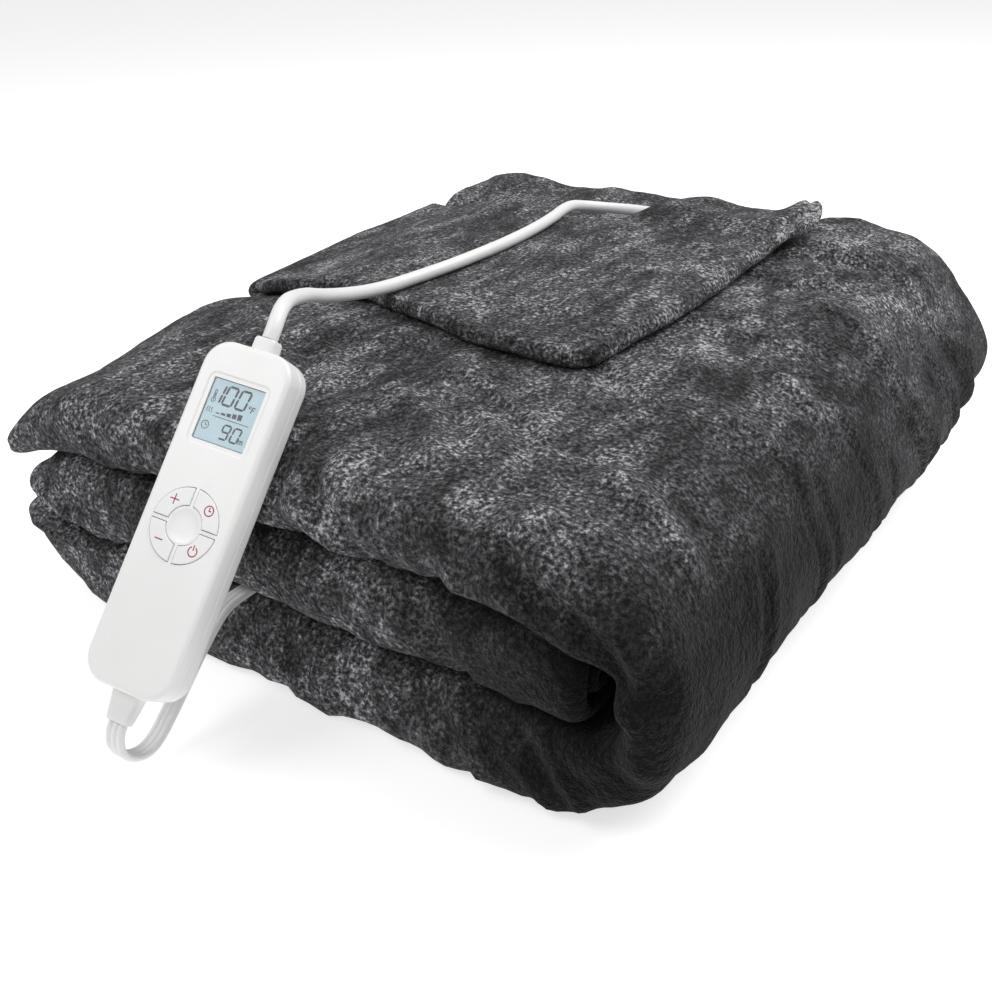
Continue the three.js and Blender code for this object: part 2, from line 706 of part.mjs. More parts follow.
const flat = [supplyLeadWidth, supplyLeadThickness];
addPiece(
  assembly,
  'output_lead',
  leadTube(outputLeadPoints, 28, outputLeadDiameter, outputLeadDiameter),
  'whiteLead',
);
addPiece(assembly, 'supply_loop', leadTube(supplyLoopPoints, 22, ...flat), 'whiteLead');
addPiece(assembly, 'supply_lead', leadTube(supplyLeadPoints, 32, ...flat), 'whiteLead');
addPiece(assembly, 'supply_tail', leadTube(supplyTailPoints, 4, ...flat), 'whiteLead');

const coilY = backY + coilBehind + coilOuter;
const coilTop = coilBottom + coilHeight;
const ring = new THREE.LatheGeometry(
  [
    [coilInner, coilBottom], [coilOuter, coilBottom], [coilOuter, coilTop],
    [coilInner, coilTop], [coilInner, coilBottom],
  ].map(([x, y]) => new THREE.Vector2(x, y)),
  48,
);
ring.rotateX(Math.PI / 2);
ring.translate(coilX, coilY, 0);
addPiece(assembly, 'supply_coil', solidFrom(ring), 'whiteLead');

const tieRoom = [
  [coilX - coilOuter - tieClearance, coilBottom - touchGap],
  [coilX - coilInner + tieClearance, coilTop + touchGap],
];
const tie = cut(
  block(
    [tieRoom[0][0] - tieThickness, coilY - tieWidth / 2, tieRoom[0][1] - tieThickness],
    [tieRoom[1][0] + tieThickness, coilY + tieWidth / 2, tieRoom[1][1] + tieThickness],
  ),
  block([tieRoom[0][0], coilY - tieWidth, tieRoom[0][1]], [tieRoom[1][0], coilY + tieWidth, tieRoom[1][1]]),
);
addPiece(assembly, 'coil_tie', tie, 'blackPart');

const plugZ = plugFloorGap + plug.height / 2;
const plugBox = (x0, x1, width, height, y = plugEntry[1]) => (
  block([x0, y - width / 2, plugZ - height / 2], [x1, y + width / 2, plugZ + height / 2])
);
const plugBodyStart = plugEntry[0] - plugBoot.length - touchGap;
const plugFace = plugBodyStart - plug.length;
addPiece(
  assembly,
  'plug_boot',
  plugBox(plugEntry[0] - plugBoot.length, plugEntry[0], plugBoot.width, plugBoot.height),
  'whiteBoot',
);
addPiece(assembly, 'plug_body', plugBox(plugFace, plugBodyStart, plug.width, plug.height), 'whiteShell');
[['front', -1], ['back', 1]].forEach(([side, sign]) => {
  const y = plugEntry[1] + (sign * blade.spacing) / 2;
  const x1 = plugFace - touchGap;
  addPiece(
    assembly,
    `plug_blade_${side}`,
    plugBox(x1 - blade.length, x1, blade.thickness, blade.height, y),
    'brass',
  );
});

export default assembly;
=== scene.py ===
import bmesh
import bpy
import json
import math
import numpy as np
from mathutils import Matrix, Vector, noise


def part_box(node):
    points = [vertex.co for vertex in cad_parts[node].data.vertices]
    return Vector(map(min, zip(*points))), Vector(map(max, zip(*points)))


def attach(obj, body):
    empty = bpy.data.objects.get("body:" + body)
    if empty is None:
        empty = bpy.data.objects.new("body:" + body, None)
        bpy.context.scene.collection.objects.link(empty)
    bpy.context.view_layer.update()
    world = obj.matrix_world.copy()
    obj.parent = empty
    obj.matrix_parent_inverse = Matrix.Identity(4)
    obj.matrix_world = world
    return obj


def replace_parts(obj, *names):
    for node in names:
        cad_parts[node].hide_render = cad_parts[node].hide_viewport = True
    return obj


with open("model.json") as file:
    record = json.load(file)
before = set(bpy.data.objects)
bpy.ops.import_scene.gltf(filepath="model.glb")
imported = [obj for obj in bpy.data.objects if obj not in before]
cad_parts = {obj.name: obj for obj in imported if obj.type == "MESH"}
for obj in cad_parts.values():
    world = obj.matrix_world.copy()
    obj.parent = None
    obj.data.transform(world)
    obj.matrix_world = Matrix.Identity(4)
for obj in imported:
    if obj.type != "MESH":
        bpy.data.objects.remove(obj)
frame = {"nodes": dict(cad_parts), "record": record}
nodes = frame["nodes"]
scene = bpy.context.scene
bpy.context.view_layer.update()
print("frame loaded:", len(nodes), "CAD nodes")

cameraView = {
    "place": (0.3134, -0.5082, 0.3347), "nearest": 0.01,  # metres
    "azimuth": 34.9, "elevation": 29.3, "roll": -2.1,  # degrees
    "lens": 40.35, "sensor": 36,  # mm
}


def addObject(name, data):
    made = bpy.data.objects.new(name, data)
    scene.collection.objects.link(made)
    return made


def makeCamera(view):
    azimuth, elevation, roll = (math.radians(view[k]) for k in ("azimuth", "elevation", "roll"))
    flat = math.cos(elevation)
    back = Vector((math.sin(azimuth) * flat, -math.cos(azimuth) * flat, math.sin(elevation)))
    right = Vector((0, 0, 1)).cross(back).normalized()
    level = Matrix((right, back.cross(right), back)).transposed()
    camera = addObject("camera", bpy.data.cameras.new("camera"))
    camera.matrix_world = Matrix.Translation(view["place"]) @ (level @ Matrix.Rotation(roll, 3, "Z")).to_4x4()
    camera.data.lens = view["lens"]
    camera.data.sensor_width = view["sensor"]
    camera.data.clip_start = view["nearest"]
    scene.camera = camera


makeCamera(cameraView)

# Small tools. Everything is drawn in millimetres and scaled once, when its mesh is made.
toMetres = Matrix.Scale(0.001, 4)


def smooth(t):
    t = np.clip(t, 0, 1)
    return t * t * (3 - 2 * t)


def makeMesh(name, verts, faces):
    mesh = bpy.data.meshes.new(name)
    mesh.from_pydata(np.asarray(verts, float).tolist(), [], [tuple(map(int, f)) for f in faces])
    return mesh


def addPiece(name, verts, faces, material, slotName, body="root", place=toMetres, crease=180):
    return finishPiece(name, makeMesh(name, verts, faces), material, body, place, crease)


def finishPiece(name, mesh, material, body="root", place=toMetres, crease=180):
    mesh.transform(place)
    mesh.update()
    mesh.materials.clear()
    mesh.materials.append(material)
    shadeMesh(mesh, crease)
    piece = addObject(name, mesh)
    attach(piece, body)
    return piece


def shadeMesh(mesh, crease):  # smooth faces, with sharp edges wherever they meet at more than crease degrees
    work = bmesh.new()
    work.from_mesh(mesh)
    bmesh.ops.recalc_face_normals(work, faces=work.faces)
    limit = math.radians(crease)
    for face in work.faces:
        face.smooth = True
    for edge in work.edges:
        if len(edge.link_faces) == 2 and edge.calc_face_angle(0) > limit:
            edge.smooth = False
    work.to_mesh(mesh)
    work.free()


def ringFaces(count, size):
    faces = []
    for i in range(count - 1):
        for j in range(size):
            k = (j + 1) % size
            faces.append((i * size + j, i * size + k, (i + 1) * size + k, (i + 1) * size + j))
    return faces


def loft(rings):  # closed solid through rings of equal size, with flat ends
    size = len(rings[0])
    faces = ringFaces(len(rings), size)
    faces.append(tuple(reversed(range(size))))
    faces.append(tuple(range((len(rings) - 1) * size, len(rings) * size)))
    return np.concatenate(rings), faces


def circle(radius, count, x=0, y=0):
    turn = np.linspace(0, 2 * math.pi, count, endpoint=False)
    return np.column_stack([x + radius * np.cos(turn), y + radius * np.sin(turn)])


def roundedRectangle(width, height, radius, steps, x=0, y=0):
    points = []
    for quarter, (sx, sy) in enumerate(((1, 1), (-1, 1), (-1, -1), (1, -1))):
        for i in range(steps + 1):
            angle = (quarter + i / steps) * math.pi / 2
            points.append((
                x + sx * (width / 2 - radius) + radius * math.cos(angle),
                y + sy * (height / 2 - radius) + radius * math.sin(angle),
            ))
    return np.array(points)


def atHeight(ring, z):
    return np.column_stack([ring, np.full(len(ring), z)])


def standing(ring, y, x0=0, z0=0):  # a ring in x and z, set at y
    return np.column_stack([x0 + ring[:, 0], np.full(len(ring), y), z0 + ring[:, 1]])


def prism(outline, low, high):
    return loft([atHeight(outline, low), atHeight(outline, high)])


def edgeRings(outline, level, radius, steps, side):  # a quarter round: side is 1 at a top, -1 at a bottom
    rings = []
    for i in range(steps + 1):
        angle = (1 - i / steps if side > 0 else i / steps) * math.pi / 2
        inset = radius * (1 - math.sin(angle))
        rings.append(atHeight(outline(inset), level - side * radius * (1 - math.cos(angle))))
    return rings


def roundedBlock(outline, low, high, edge, steps):  # outline(inset) gives a ring; both ends are rounded
    flatEnd = outline(edge + 0.3)
    rings = edgeRings(outline, low, edge, steps, -1) + edgeRings(outline, high, edge, steps, 1)
    return loft([atHeight(flatEnd, low), *rings, atHeight(flatEnd, high)])


def solidObject(verts, faces):
    mesh = makeMesh("solid", verts, faces)
    work = bmesh.new()
    work.from_mesh(mesh)
    bmesh.ops.recalc_face_normals(work, faces=work.faces)
    work.to_mesh(mesh)
    work.free()
    return addObject("solid", mesh)


def carve(solid, cutters):  # cuts each solid out of the first, and returns the mesh that is left
    for cutter in cutters:
        cut = solid.modifiers.new("cut", "BOOLEAN")
        cut.object = cutter
        cut.solver = "EXACT"
    graph = bpy.context.evaluated_depsgraph_get()
    mesh = bpy.data.meshes.new_from_object(solid.evaluated_get(graph))
    for used in [solid, *cutters]:
        bpy.data.objects.remove(used)
    return mesh


def runLengths(path):  # the distance along the path at each of its points
    return np.concatenate([[0], np.cumsum(np.linalg.norm(np.diff(path, axis=0), axis=1))])


def resample(line, places, newPlaces):
    return np.column_stack([np.interp(newPlaces, places, line[:, k]) for k in range(line.shape[1])])


def smoothPath(points, spacing):  # a centripetal curve through the points, cut into even steps
    points = np.array(points, float)
    points = np.vstack([2 * points[0] - points[1], points, 2 * points[-1] - points[-2]])
    fine = []
    for a, b, c, d in zip(points, points[1:], points[2:], points[3:]):
        t0 = 0
        t1 = t0 + np.linalg.norm(b - a) ** 0.5
        t2 = t1 + np.linalg.norm(c - b) ** 0.5
        t3 = t2 + np.linalg.norm(d - c) ** 0.5
        t = np.linspace(t1, t2, 24, endpoint=False)[:, None]
        ab = (t1 - t) / (t1 - t0) * a + (t - t0) / (t1 - t0) * b
        bc = (t2 - t) / (t2 - t1) * b + (t - t1) / (t2 - t1) * c
        cd = (t3 - t) / (t3 - t2) * c + (t - t2) / (t3 - t2) * d
        abc = (t2 - t) / (t2 - t0) * ab + (t - t0) / (t2 - t0) * bc
        bcd = (t3 - t) / (t3 - t1) * bc + (t - t1) / (t3 - t1) * cd
        fine.append((t2 - t) / (t2 - t1) * abc + (t - t1) / (t2 - t1) * bcd)
    fine = np.vstack([*fine, points[-2]])
    along = runLengths(fine)
    return resample(fine, along, np.linspace(0, along[-1], int(along[-1] / spacing) + 1)), along[-1]


def unit(vectors):
    return vectors / np.linalg.norm(vectors, axis=-1, keepdims=True)


def sweep(path, section, across):  # section points are (across, through); across is one direction a path point
    tangent = unit(np.gradient(path, axis=0))
    across = unit(across - (across * tangent).sum(1)[:, None] * tangent)
    through = np.cross(tangent, across)
    rings = [
        path[i] + section[:, :1] * across[i] + section[:, 1:] * through[i] for i in range(len(path))
    ]
    return loft(rings)


def carriedAcross(path, start):  # one side direction, carried along the path without twist
    tangent = unit(np.gradient(path, axis=0))
    directions = [np.array(start, float)]
    for t in tangent[1:]:
        last = directions[-1]
        directions.append(unit(last - last.dot(t) * t))
    return np.array(directions)


# Finishes
def startFinish(name, color, roughness, **sockets):
    finish = bpy.data.materials.new(name)
    finish.use_nodes = True
    tree = finish.node_tree
    shader = tree.nodes["Principled BSDF"]
    shader.inputs["Base Color"].default_value = (*color, 1)
    shader.inputs["Roughness"].default_value = roughness
    for key, value in sockets.items():
        shader.inputs[key.replace("_", " ")].default_value = value
    finish.diffuse_color = (*color, 1)
    return finish, tree, shader


def addNoise(tree, scale, detail=2, roughness=0.5, stretch=None, distortion=0):
    coordinates = tree.nodes.new("ShaderNodeTexCoord").outputs["Object"]
    if stretch:
        mapping = tree.nodes.new("ShaderNodeMapping")
        mapping.inputs["Scale"].default_value = stretch[0]
        mapping.inputs["Rotation"].default_value = stretch[1]
        tree.links.new(coordinates, mapping.inputs["Vector"])
        coordinates = mapping.outputs["Vector"]
    grain = tree.nodes.new("ShaderNodeTexNoise")
    tree.links.new(coordinates, grain.inputs["Vector"])
    for key, value in (("Scale", scale), ("Detail", detail), ("Roughness", roughness), ("Distortion", distortion)):
        grain.inputs[key].default_value = value
    return grain.outputs["Fac"]


def addRange(tree, value, low, high, newLow=0, newHigh=1):
    node = tree.nodes.new("ShaderNodeMapRange")
    tree.links.new(value, node.inputs["Value"])
    for key, number in (("From Min", low), ("From Max", high), ("To Min", newLow), ("To Max", newHigh)):
        node.inputs[key].default_value = number
    return node.outputs["Result"]


def addMath(tree, operation, first, second):
    node = tree.nodes.new("ShaderNodeMath")
    node.operation = operation
    for socket, value in zip(node.inputs, (first, second)):
        if isinstance(value, (int, float)):
            socket.default_value = value
        else:
            tree.links.new(value, socket)
    return node.outputs["Value"]


def addRamp(tree, value, stops):
    ramp = tree.nodes.new("ShaderNodeValToRGB")
    tree.links.new(value, ramp.inputs["Fac"])
    elements = ramp.color_ramp.elements
    while len(elements) < len(stops):
        elements.new(0.5)
    for element, (place, color) in zip(elements, stops):
        element.position = place
        element.color = (*color, 1)
    return ramp.outputs["Color"]


def addBump(tree, shader, height, distance, strength=1.0, before=None):
    bump = tree.nodes.new("ShaderNodeBump")
    bump.inputs["Distance"].default_value = distance
    bump.inputs["Strength"].default_value = strength
    tree.links.new(height, bump.inputs["Height"])
    if before is not None:
        tree.links.new(before, bump.inputs["Normal"])
    tree.links.new(bump.outputs["Normal"], shader.inputs["Normal"])
    return bump.outputs["Normal"]


plushLook = {
    "tones": (0.006, 0.03, 0.12, 0.5),  # from the darkest pile to the lightest
    "toneStops": (0.06, 0.3, 0.62, 1.0), "tint": (0.985, 0.985, 1.03),
    "roughness": 0.94, "specular": 0.1, "sheen": 0.07, "sheenRoughness": 0.5, "sheenTint": (0.75, 0.76, 0.8, 1),
    "patch": 26, "crush": 85, "tuft": 230, "fibre": 520,  # noise sizes, in waves a metre
    "patchShare": 0.46, "crushShare": 0.3, "tuftShare": 0.2, "layLevel": 0.2,
    "fibreShare": 0.95, "fibreLevel": 0.26,
    "tuftDepth": 0.0016, "fibreDepth": 0.0006,  # metres
    # painted light and shade on the plush: the right side is painted darker low down and towards the front, and
    # lighter higher up
    "paintedSide": (0.05, 0.15), "paintedShadeFront": (0.08, -0.12), "paintedHeights": (0.075, 0.15),  # metres
    "paintedShadeShare": 0.85, "paintedLightShare": 0.3, "paintedShadeAtBack": 0.4,
}


def plushFinish(name, look):
    greys = [tuple(tone * share for share in look["tint"]) for tone in look["tones"]]
    finish, tree, shader = startFinish(
        name, greys[1], look["roughness"], Sheen_Weight=look["sheen"], Sheen_Roughness=look["sheenRoughness"],
    )
    shader.inputs["Sheen Tint"].default_value = look["sheenTint"]
    shader.inputs["Specular IOR Level"].default_value = look["specular"]

    def times(first, second):
        return addMath(tree, "MULTIPLY", first, second)

    def plus(first, second):
        return addMath(tree, "ADD", first, second)

    patch = addRange(tree, addNoise(tree, look["patch"], 4, 0.55, ((1.35, 0.75, 1), (0, 0, 0.6)), 1.0), 0.34, 0.68)
    crush = addRange(tree, addNoise(tree, look["crush"], 3, 0.55, ((1.7, 0.6, 1), (0, 0, 0.4)), 0.7), 0.32, 0.7)
    tuft = addRange(tree, addNoise(tree, look["tuft"], 3, 0.6), 0.32, 0.7)
    fibre = addRange(tree, addNoise(tree, look["fibre"], 2, 0.65), 0.34, 0.68)
    lay = plus(times(patch, look["patchShare"]), times(crush, look["crushShare"]))
    lay = plus(lay, plus(times(tuft, look["tuftShare"]), look["layLevel"]))
    speckle = plus(times(fibre, look["fibreShare"]), look["fibreLevel"])
    place = tree.nodes.new("ShaderNodeSeparateXYZ")  # painted light and shade: on the right side, the pile is painted lighter above and darker below, darker still towards the front, for how the light falls there
    tree.links.new(tree.nodes.new("ShaderNodeTexCoord").outputs["Object"], place.inputs["Vector"])
    right = addRange(tree, place.outputs["X"], *look["paintedSide"])
    low = addRange(tree, place.outputs["Z"], *look["paintedHeights"][::-1])
    front = addRange(tree, place.outputs["Y"], *look["paintedShadeFront"], look["paintedShadeAtBack"], 1)
    # painted shade: darker low on the right side, most towards the front
    down = times(times(low, front), -look["paintedShadeShare"])
    # painted light: lighter higher up on the right side
    raised = times(addMath(tree, "SUBTRACT", 1.0, low), look["paintedLightShare"])
    # the painted light and shade are multiplied into the pile's tone
    lay = times(lay, plus(times(right, plus(down, raised)), 1.0))
    color = addRamp(tree, times(lay, speckle), list(zip(look["toneStops"], greys)))
    tree.links.new(color, shader.inputs["Base Color"])
    coarse = addBump(tree, shader, tuft, look["tuftDepth"], 0.7)
    addBump(tree, shader, fibre, look["fibreDepth"], 0.9, coarse)
    return finish


def addGloss(tree, shader, grain, roughness, lowest, highest):  # roughness that varies with the grain
    varied = addRange(tree, grain, 0.3, 0.7, roughness * lowest, roughness * highest)
    tree.links.new(varied, shader.inputs["Roughness"])


def addTint(tree, shader, grain, color, darkest):
    tint = addRamp(tree, grain, [(0.3, [c * darkest for c in color]), (0.7, color)])
    tree.links.new(tint, shader.inputs["Base Color"])


def mouldedFinish(name, color, roughness, grain=1400, depth=0.00006, **sockets):
    finish, tree, shader = startFinish(name, color, roughness, **sockets)
    addTint(tree, shader, addNoise(tree, 35, 3), color, 0.965)
    addGloss(tree, shader, addNoise(tree, 90, 3), roughness, 0.88, 1.12)
    addBump(tree, shader, addNoise(tree, grain, 2), depth)
    return finish


def metalFinish(name, color, roughness):
    finish, tree, shader = startFinish(name, color, roughness, Metallic=1.0)
    brushed = addNoise(tree, 900, 3, 0.6, ((0.12, 1, 1), (0, 0, 0)))
    addGloss(tree, shader, brushed, roughness, 0.75, 1.3)
    addTint(tree, shader, brushed, color, 0.85)
    addBump(tree, shader, brushed, 0.00003)
    return finish


plush = plushFinish("charcoal_plush", plushLook)
whiteShell = mouldedFinish("white_shell", (0.86, 0.86, 0.855), 0.34, Coat_Weight=0.12, Coat_Roughness=0.2)
whiteKey = mouldedFinish("white_key", (0.85, 0.85, 0.85), 0.38, 1800, 0.00005)
whiteBoot = mouldedFinish("white_boot", (0.83, 0.83, 0.825), 0.45, 1100, 0.00008)
whiteLead = mouldedFinish("white_lead", (0.83, 0.83, 0.825), 0.42, 700, 0.00007, Coat_Weight=0.08, Coat_Roughness=0.3)
lcdFace = mouldedFinish("lcd_face", (0.47, 0.635, 0.70), 0.42, 240, 0.00001)
lcdInk = mouldedFinish("lcd_ink", (0.012, 0.014, 0.018), 0.45, 2500, 0.00001)
keyInk = mouldedFinish("key_ink", (0.33, 0.004, 0.03), 0.42, 2500, 0.00001)
darkEdge = mouldedFinish("window_edge", (0.10, 0.11, 0.12), 0.5)
palePlastic = mouldedFinish("pale_plastic", (0.66, 0.68, 0.64), 0.55)
boardGreen = mouldedFinish("board_green", (0.015, 0.1, 0.04), 0.5)
blackPart = mouldedFinish("black_part", (0.014, 0.014, 0.015), 0.5)
capacitorYellow = mouldedFinish("capacitor_yellow", (0.43, 0.25, 0.03), 0.4)
wireCoat = mouldedFinish("wire_coat", (0.58, 0.46, 0.27), 0.6)
steel = metalFinish("zinc_steel", (0.5, 0.51, 0.53), 0.34)
brass = metalFinish("bare_brass", (0.62, 0.44, 0.15), 0.28)
clearLens, _, lensShader = startFinish("clear_lens", (0.95, 0.98, 1.0), 0.09, Alpha=0.05, IOR=1.49)
addBump(clearLens.node_tree, lensShader, addNoise(clearLens.node_tree, 220, 2), 0.00001)

# Leads, with the same routes as the CAD, in mm
leadStep = 1.6
outputLead = {
    "diameter": 7,
    "points": [
        (-23.3, -191.3, 162.2), (-23.4, -188.2, 165.8), (-26, -181, 170.4), (-31.6, -171, 171),
        (-39, -158, 168), (-46, -143, 163.5), (-52.5, -126, 157), (-57, -107, 151), (-58.8, -88, 146.4),
        (-58.5, -68, 143.6), (-56.5, -47, 142.6), (-53, -24, 142.5), (-50.5, 0, 142.5), (-49, 25, 142.5),
        (-49, 50, 142.5), (-50.3, 72, 142.5), (-53, 93, 142.6), (-56, 110, 142.7), (-56.6, 122, 142),
        (-54.5, 134, 139.4), (-49, 145, 136.7), (-40, 152.5, 135), (-29, 156.3, 134.4), (-16, 157, 134.3),
        (-2.3, 157, 134.3),
    ],
}
supplyLead = {
    "width": 9.2, "rib": 1.7, "groove": 1.12,  # three ribs side by side; groove is half the web's thickness
    "front": [
        (-24.6, -304.5, 30.5), (-24.6, -306.2, 28.5), (-24.8, -308, 21.7), (-25, -306, 14.7),
        (-25.3, -300.7, 9.6), (-25.8, -293.7, 7.7), (-26.6, -286.7, 9.6), (-27.8, -276, 16.6),
        (-29.3, -265, 24.4), (-31, -254, 32), (-32.6, -244, 38), (-34, -235, 42), (-35, -226, 43.1),
        (-35, -213, 43.1), (-35, -100, 43.1), (-35, 0, 43.1), (-35, 100, 43.1), (-35, 200, 43.1),
        (-35, 226, 43.1), (-35, 238, 42.3), (-35, 249, 39), (-35, 259, 33), (-35, 268, 25.5),
        (-35, 277, 17.5), (-35, 286, 11),
    ],
    "coilMiddle": (-68, 296.1), "coilStart": 33, "coilInner": 48, "turnPitch": 4, "coilAngle": 1170,
    "angleStep": 15, "widenAngle": 180, "coilHeight": 6, "entryRise": 1.6, "entryAngle": 60,
    "end": [
        (-83, 355.6, 6), (-98, 355.2, 6), (-104, 353.2, 6.3), (-111, 350.6, 7), (-118, 348.5, 7.7), (-124.8, 348, 7.8),
    ],
    "loopTop": 20, "loopSide": (0.983, 0.133, -0.124),  # the loop lies along the controller's own side direction
    "flatUntil": 226,  # y: the ribs lie side by side up to here, and stand on edge from the throw's back to the plug
    "edgeFrom": 246, "edgeRun": 45, "flatBefore": 52, "flatRun": 46,
}


def makeOutputLead(lead):
    path, length = smoothPath(lead["points"], leadStep)
    verts, faces = sweep(path, circle(lead["diameter"] / 2, 24), carriedAcross(path, (1, 0, 0)))
    piece = addPiece("output_lead_jacket", verts, faces, whiteLead, "white_lead", crease=60)
    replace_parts(piece, "output_lead")
    print("output lead:", round(length), "mm")


def ribbedSection(lead):
    pitch = (lead["width"] - 2 * lead["rib"]) / 2
    across = lead["width"] / 2 * np.cos(np.linspace(math.pi, 0, 33))
    half = np.zeros_like(across)
    for centre in (-pitch, 0, pitch):
        half = np.maximum(half, np.sqrt(np.clip(lead["rib"] ** 2 - (across - centre) ** 2, 0, None)))
    web = np.where(np.abs(across) < pitch, lead["groove"], 0)
    half = np.maximum(half, web)
    top = np.column_stack([across, half])
    bottom = np.column_stack([across[::-1], -half[::-1]])[1:-1]
    return np.vstack([top, bottom])


def supplyPath(lead):
    x, y = lead["coilMiddle"]
    widened = lead["widenAngle"]
    coil = []
    for angle in range(0, lead["coilAngle"] + 1, lead["angleStep"]):
        if angle <= widened:
            radius = lead["coilStart"] + (lead["coilInner"] - lead["coilStart"]) * float(smooth(angle / widened))
        else:
            radius = lead["coilInner"] + lead["turnPitch"] * (angle - widened) / 360
        turn = math.radians(angle)
        height = lead["coilHeight"] + lead["entryRise"] * max(0, 1 - angle / lead["entryAngle"])
        coil.append((x + radius * math.cos(turn), y + radius * math.sin(turn), height))
    return smoothPath([*lead["front"], *coil, *lead["end"]], leadStep)


def makeSupplyLead(lead):
    path, length = supplyPath(lead)
    tangent = unit(np.gradient(path, axis=0))
    along = np.arange(len(path)) * length / (len(path) - 1)
    turnUp = along[np.argmax(path[:, 1] > lead["edgeFrom"])]
    turnBack = length - lead["flatBefore"]
    level = np.cross(tangent, (0, 0, 1))
    level[path[:, 1] < lead["flatUntil"]] = (1, 0, 0)
    level[: np.argmax(path[:, 2] < lead["loopTop"])] = lead["loopSide"]
    level = unit(level)
    upright = np.cross(level, tangent)
    onEdge = smooth((along - turnUp) / lead["edgeRun"]) * (1 - smooth((along - turnBack) / lead["flatRun"]))
    twist = onEdge * math.pi / 2
    across = level * np.cos(twist)[:, None] + upright * np.sin(twist)[:, None]
    verts, faces = sweep(path, ribbedSection(lead), across)
    piece = addPiece("supply_lead_jacket", verts, faces, whiteLead, "white_lead", crease=50)
    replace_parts(piece, "supply_loop", "supply_lead", "supply_coil", "supply_tail")
    print("supply lead:", round(length), "mm")
    return piece, path, length


makeOutputLead(outputLead)
supplyPiece, supplyLine, supplyLength = makeSupplyLead(supplyLead)

# Plug and tie on the supply lead
plug = {
    "entry": (-125.3, 348), "height": 7.8, "gap": 0.3,
    "boot": (14, 12, 9), "body": (31, 26, 15),  # length, width, height
    "bodyRound": 3.4, "bootRibs": 4,
    "rib": ((0, 0.93), (0.4, 1), (1.8, 1), (2.2, 0.93), (2.7, 0.93)),  # distance and share of the full section
    "shoulder": (  # shares of the body's length, width and height
        (0.04, 0.56, 0.7), (0.12, 0.7, 0.8), (0.26, 0.86, 0.9), (0.45, 0.96, 0.98), (0.6, 1, 1), (0.9, 1, 1),
    ),
    "face": ((0.7, 0.985, 0.975, 3.2), (0.15, 0.95, 0.92, 2.8), (0, 0.9, 0.85, 2.2)),  # from the end, shares, round
}
tie = {
    "profile": ((-5, 0.35), (-4.7, 0.1), (-4, 0), (4, 0), (4.7, 0.1), (5, 0.35)),  # along y, and inset
    "thickness": 0.8, "outerRound": 3.2, "innerRound": 2.5,
}


def lyingLoft(x0, y0, z0, stations):  # rounded sections set along -x: (distance, width, height, radius)
    rings = []
    for distance, width, height, radius in stations:
        ring = roundedRectangle(width, height, min(radius, width / 2 - 0.01, height / 2 - 0.01), 6)
        rings.append(np.column_stack([np.full(len(ring), x0 - distance), y0 + ring[:, 0], z0 + ring[:, 1]]))
    return loft(rings)


def makePlug(look):
    x0, y0 = look["entry"]
    z0 = look["height"]
    length, width, height = look["boot"]
    stations = [(0, width * 0.86, height * 0.5, 2), (0.6, width * 0.94, height * 0.62, 2.6)]
    for i in range(look["bootRibs"]):  # strain relief ribs
        start = 1.2 + i * (length - 2.4) / look["bootRibs"]
        grow = 0.68 + 0.3 * i / look["bootRibs"]
        for step, size in look["rib"]:
            stations.append((start + step, width * size, height * grow * size, 3))
    stations.append((length, width, height, 3))
    boot = addPiece("plug_relief", *lyingLoft(x0, y0, z0, stations), whiteBoot, "white_boot", crease=40)
    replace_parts(boot, "plug_boot")
    start = length + look["gap"]
    length, width, height = look["body"]
    stations = [(start, width * 0.5, height * 0.62, 3)]
    for share, wide, high in look["shoulder"]:
        stations.append((start + share * length, width * wide, height * high, look["bodyRound"]))
    for before, wide, high, radius in look["face"]:
        stations.append((start + length - before, width * wide, height * high, radius))
    body = addPiece("plug_shell", *lyingLoft(x0, y0, z0, stations), whiteShell, "white_shell", crease=50)
    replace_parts(body, "plug_body")
    return [boot, body, nodes["plug_blade_front"], nodes["plug_blade_back"]]


def makeTie(look):
    low, high = (1000 * np.array(corner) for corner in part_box("coil_tie"))
    (x, y, z), (width, _, height) = (low + high) / 2, high - low
    wall = 2 * look["thickness"]
    outer, inner = [], []
    for step, inset in look["profile"]:
        ring = roundedRectangle(width - 2 * inset, height - 2 * inset, look["outerRound"], 6)
        outer.append(standing(ring, y + step, x, z))
        grow = 2 * inset * 0.6
        ring = roundedRectangle(width - wall + grow, height - wall + grow, look["innerRound"], 6)
        inner.append(standing(ring, y + step, x, z))
    size = len(ring)
    count = len(outer) * size
    faces = ringFaces(len(outer), size)
    faces += [tuple(i + count for i in reversed(f)) for f in faces]
    for edge in (0, count - size):
        for j in range(size):
            k = (j + 1) % size
            faces.append((edge + j, edge + k, count + edge + k, count + edge + j))
    strap = addPiece("tie_strap", np.vstack(outer + inner), faces, blackPart, "black_part", crease=40)
    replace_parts(strap, "coil_tie")
    return strap


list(makePlug(plug))
makeTie(tie)
print("plug and tie made")

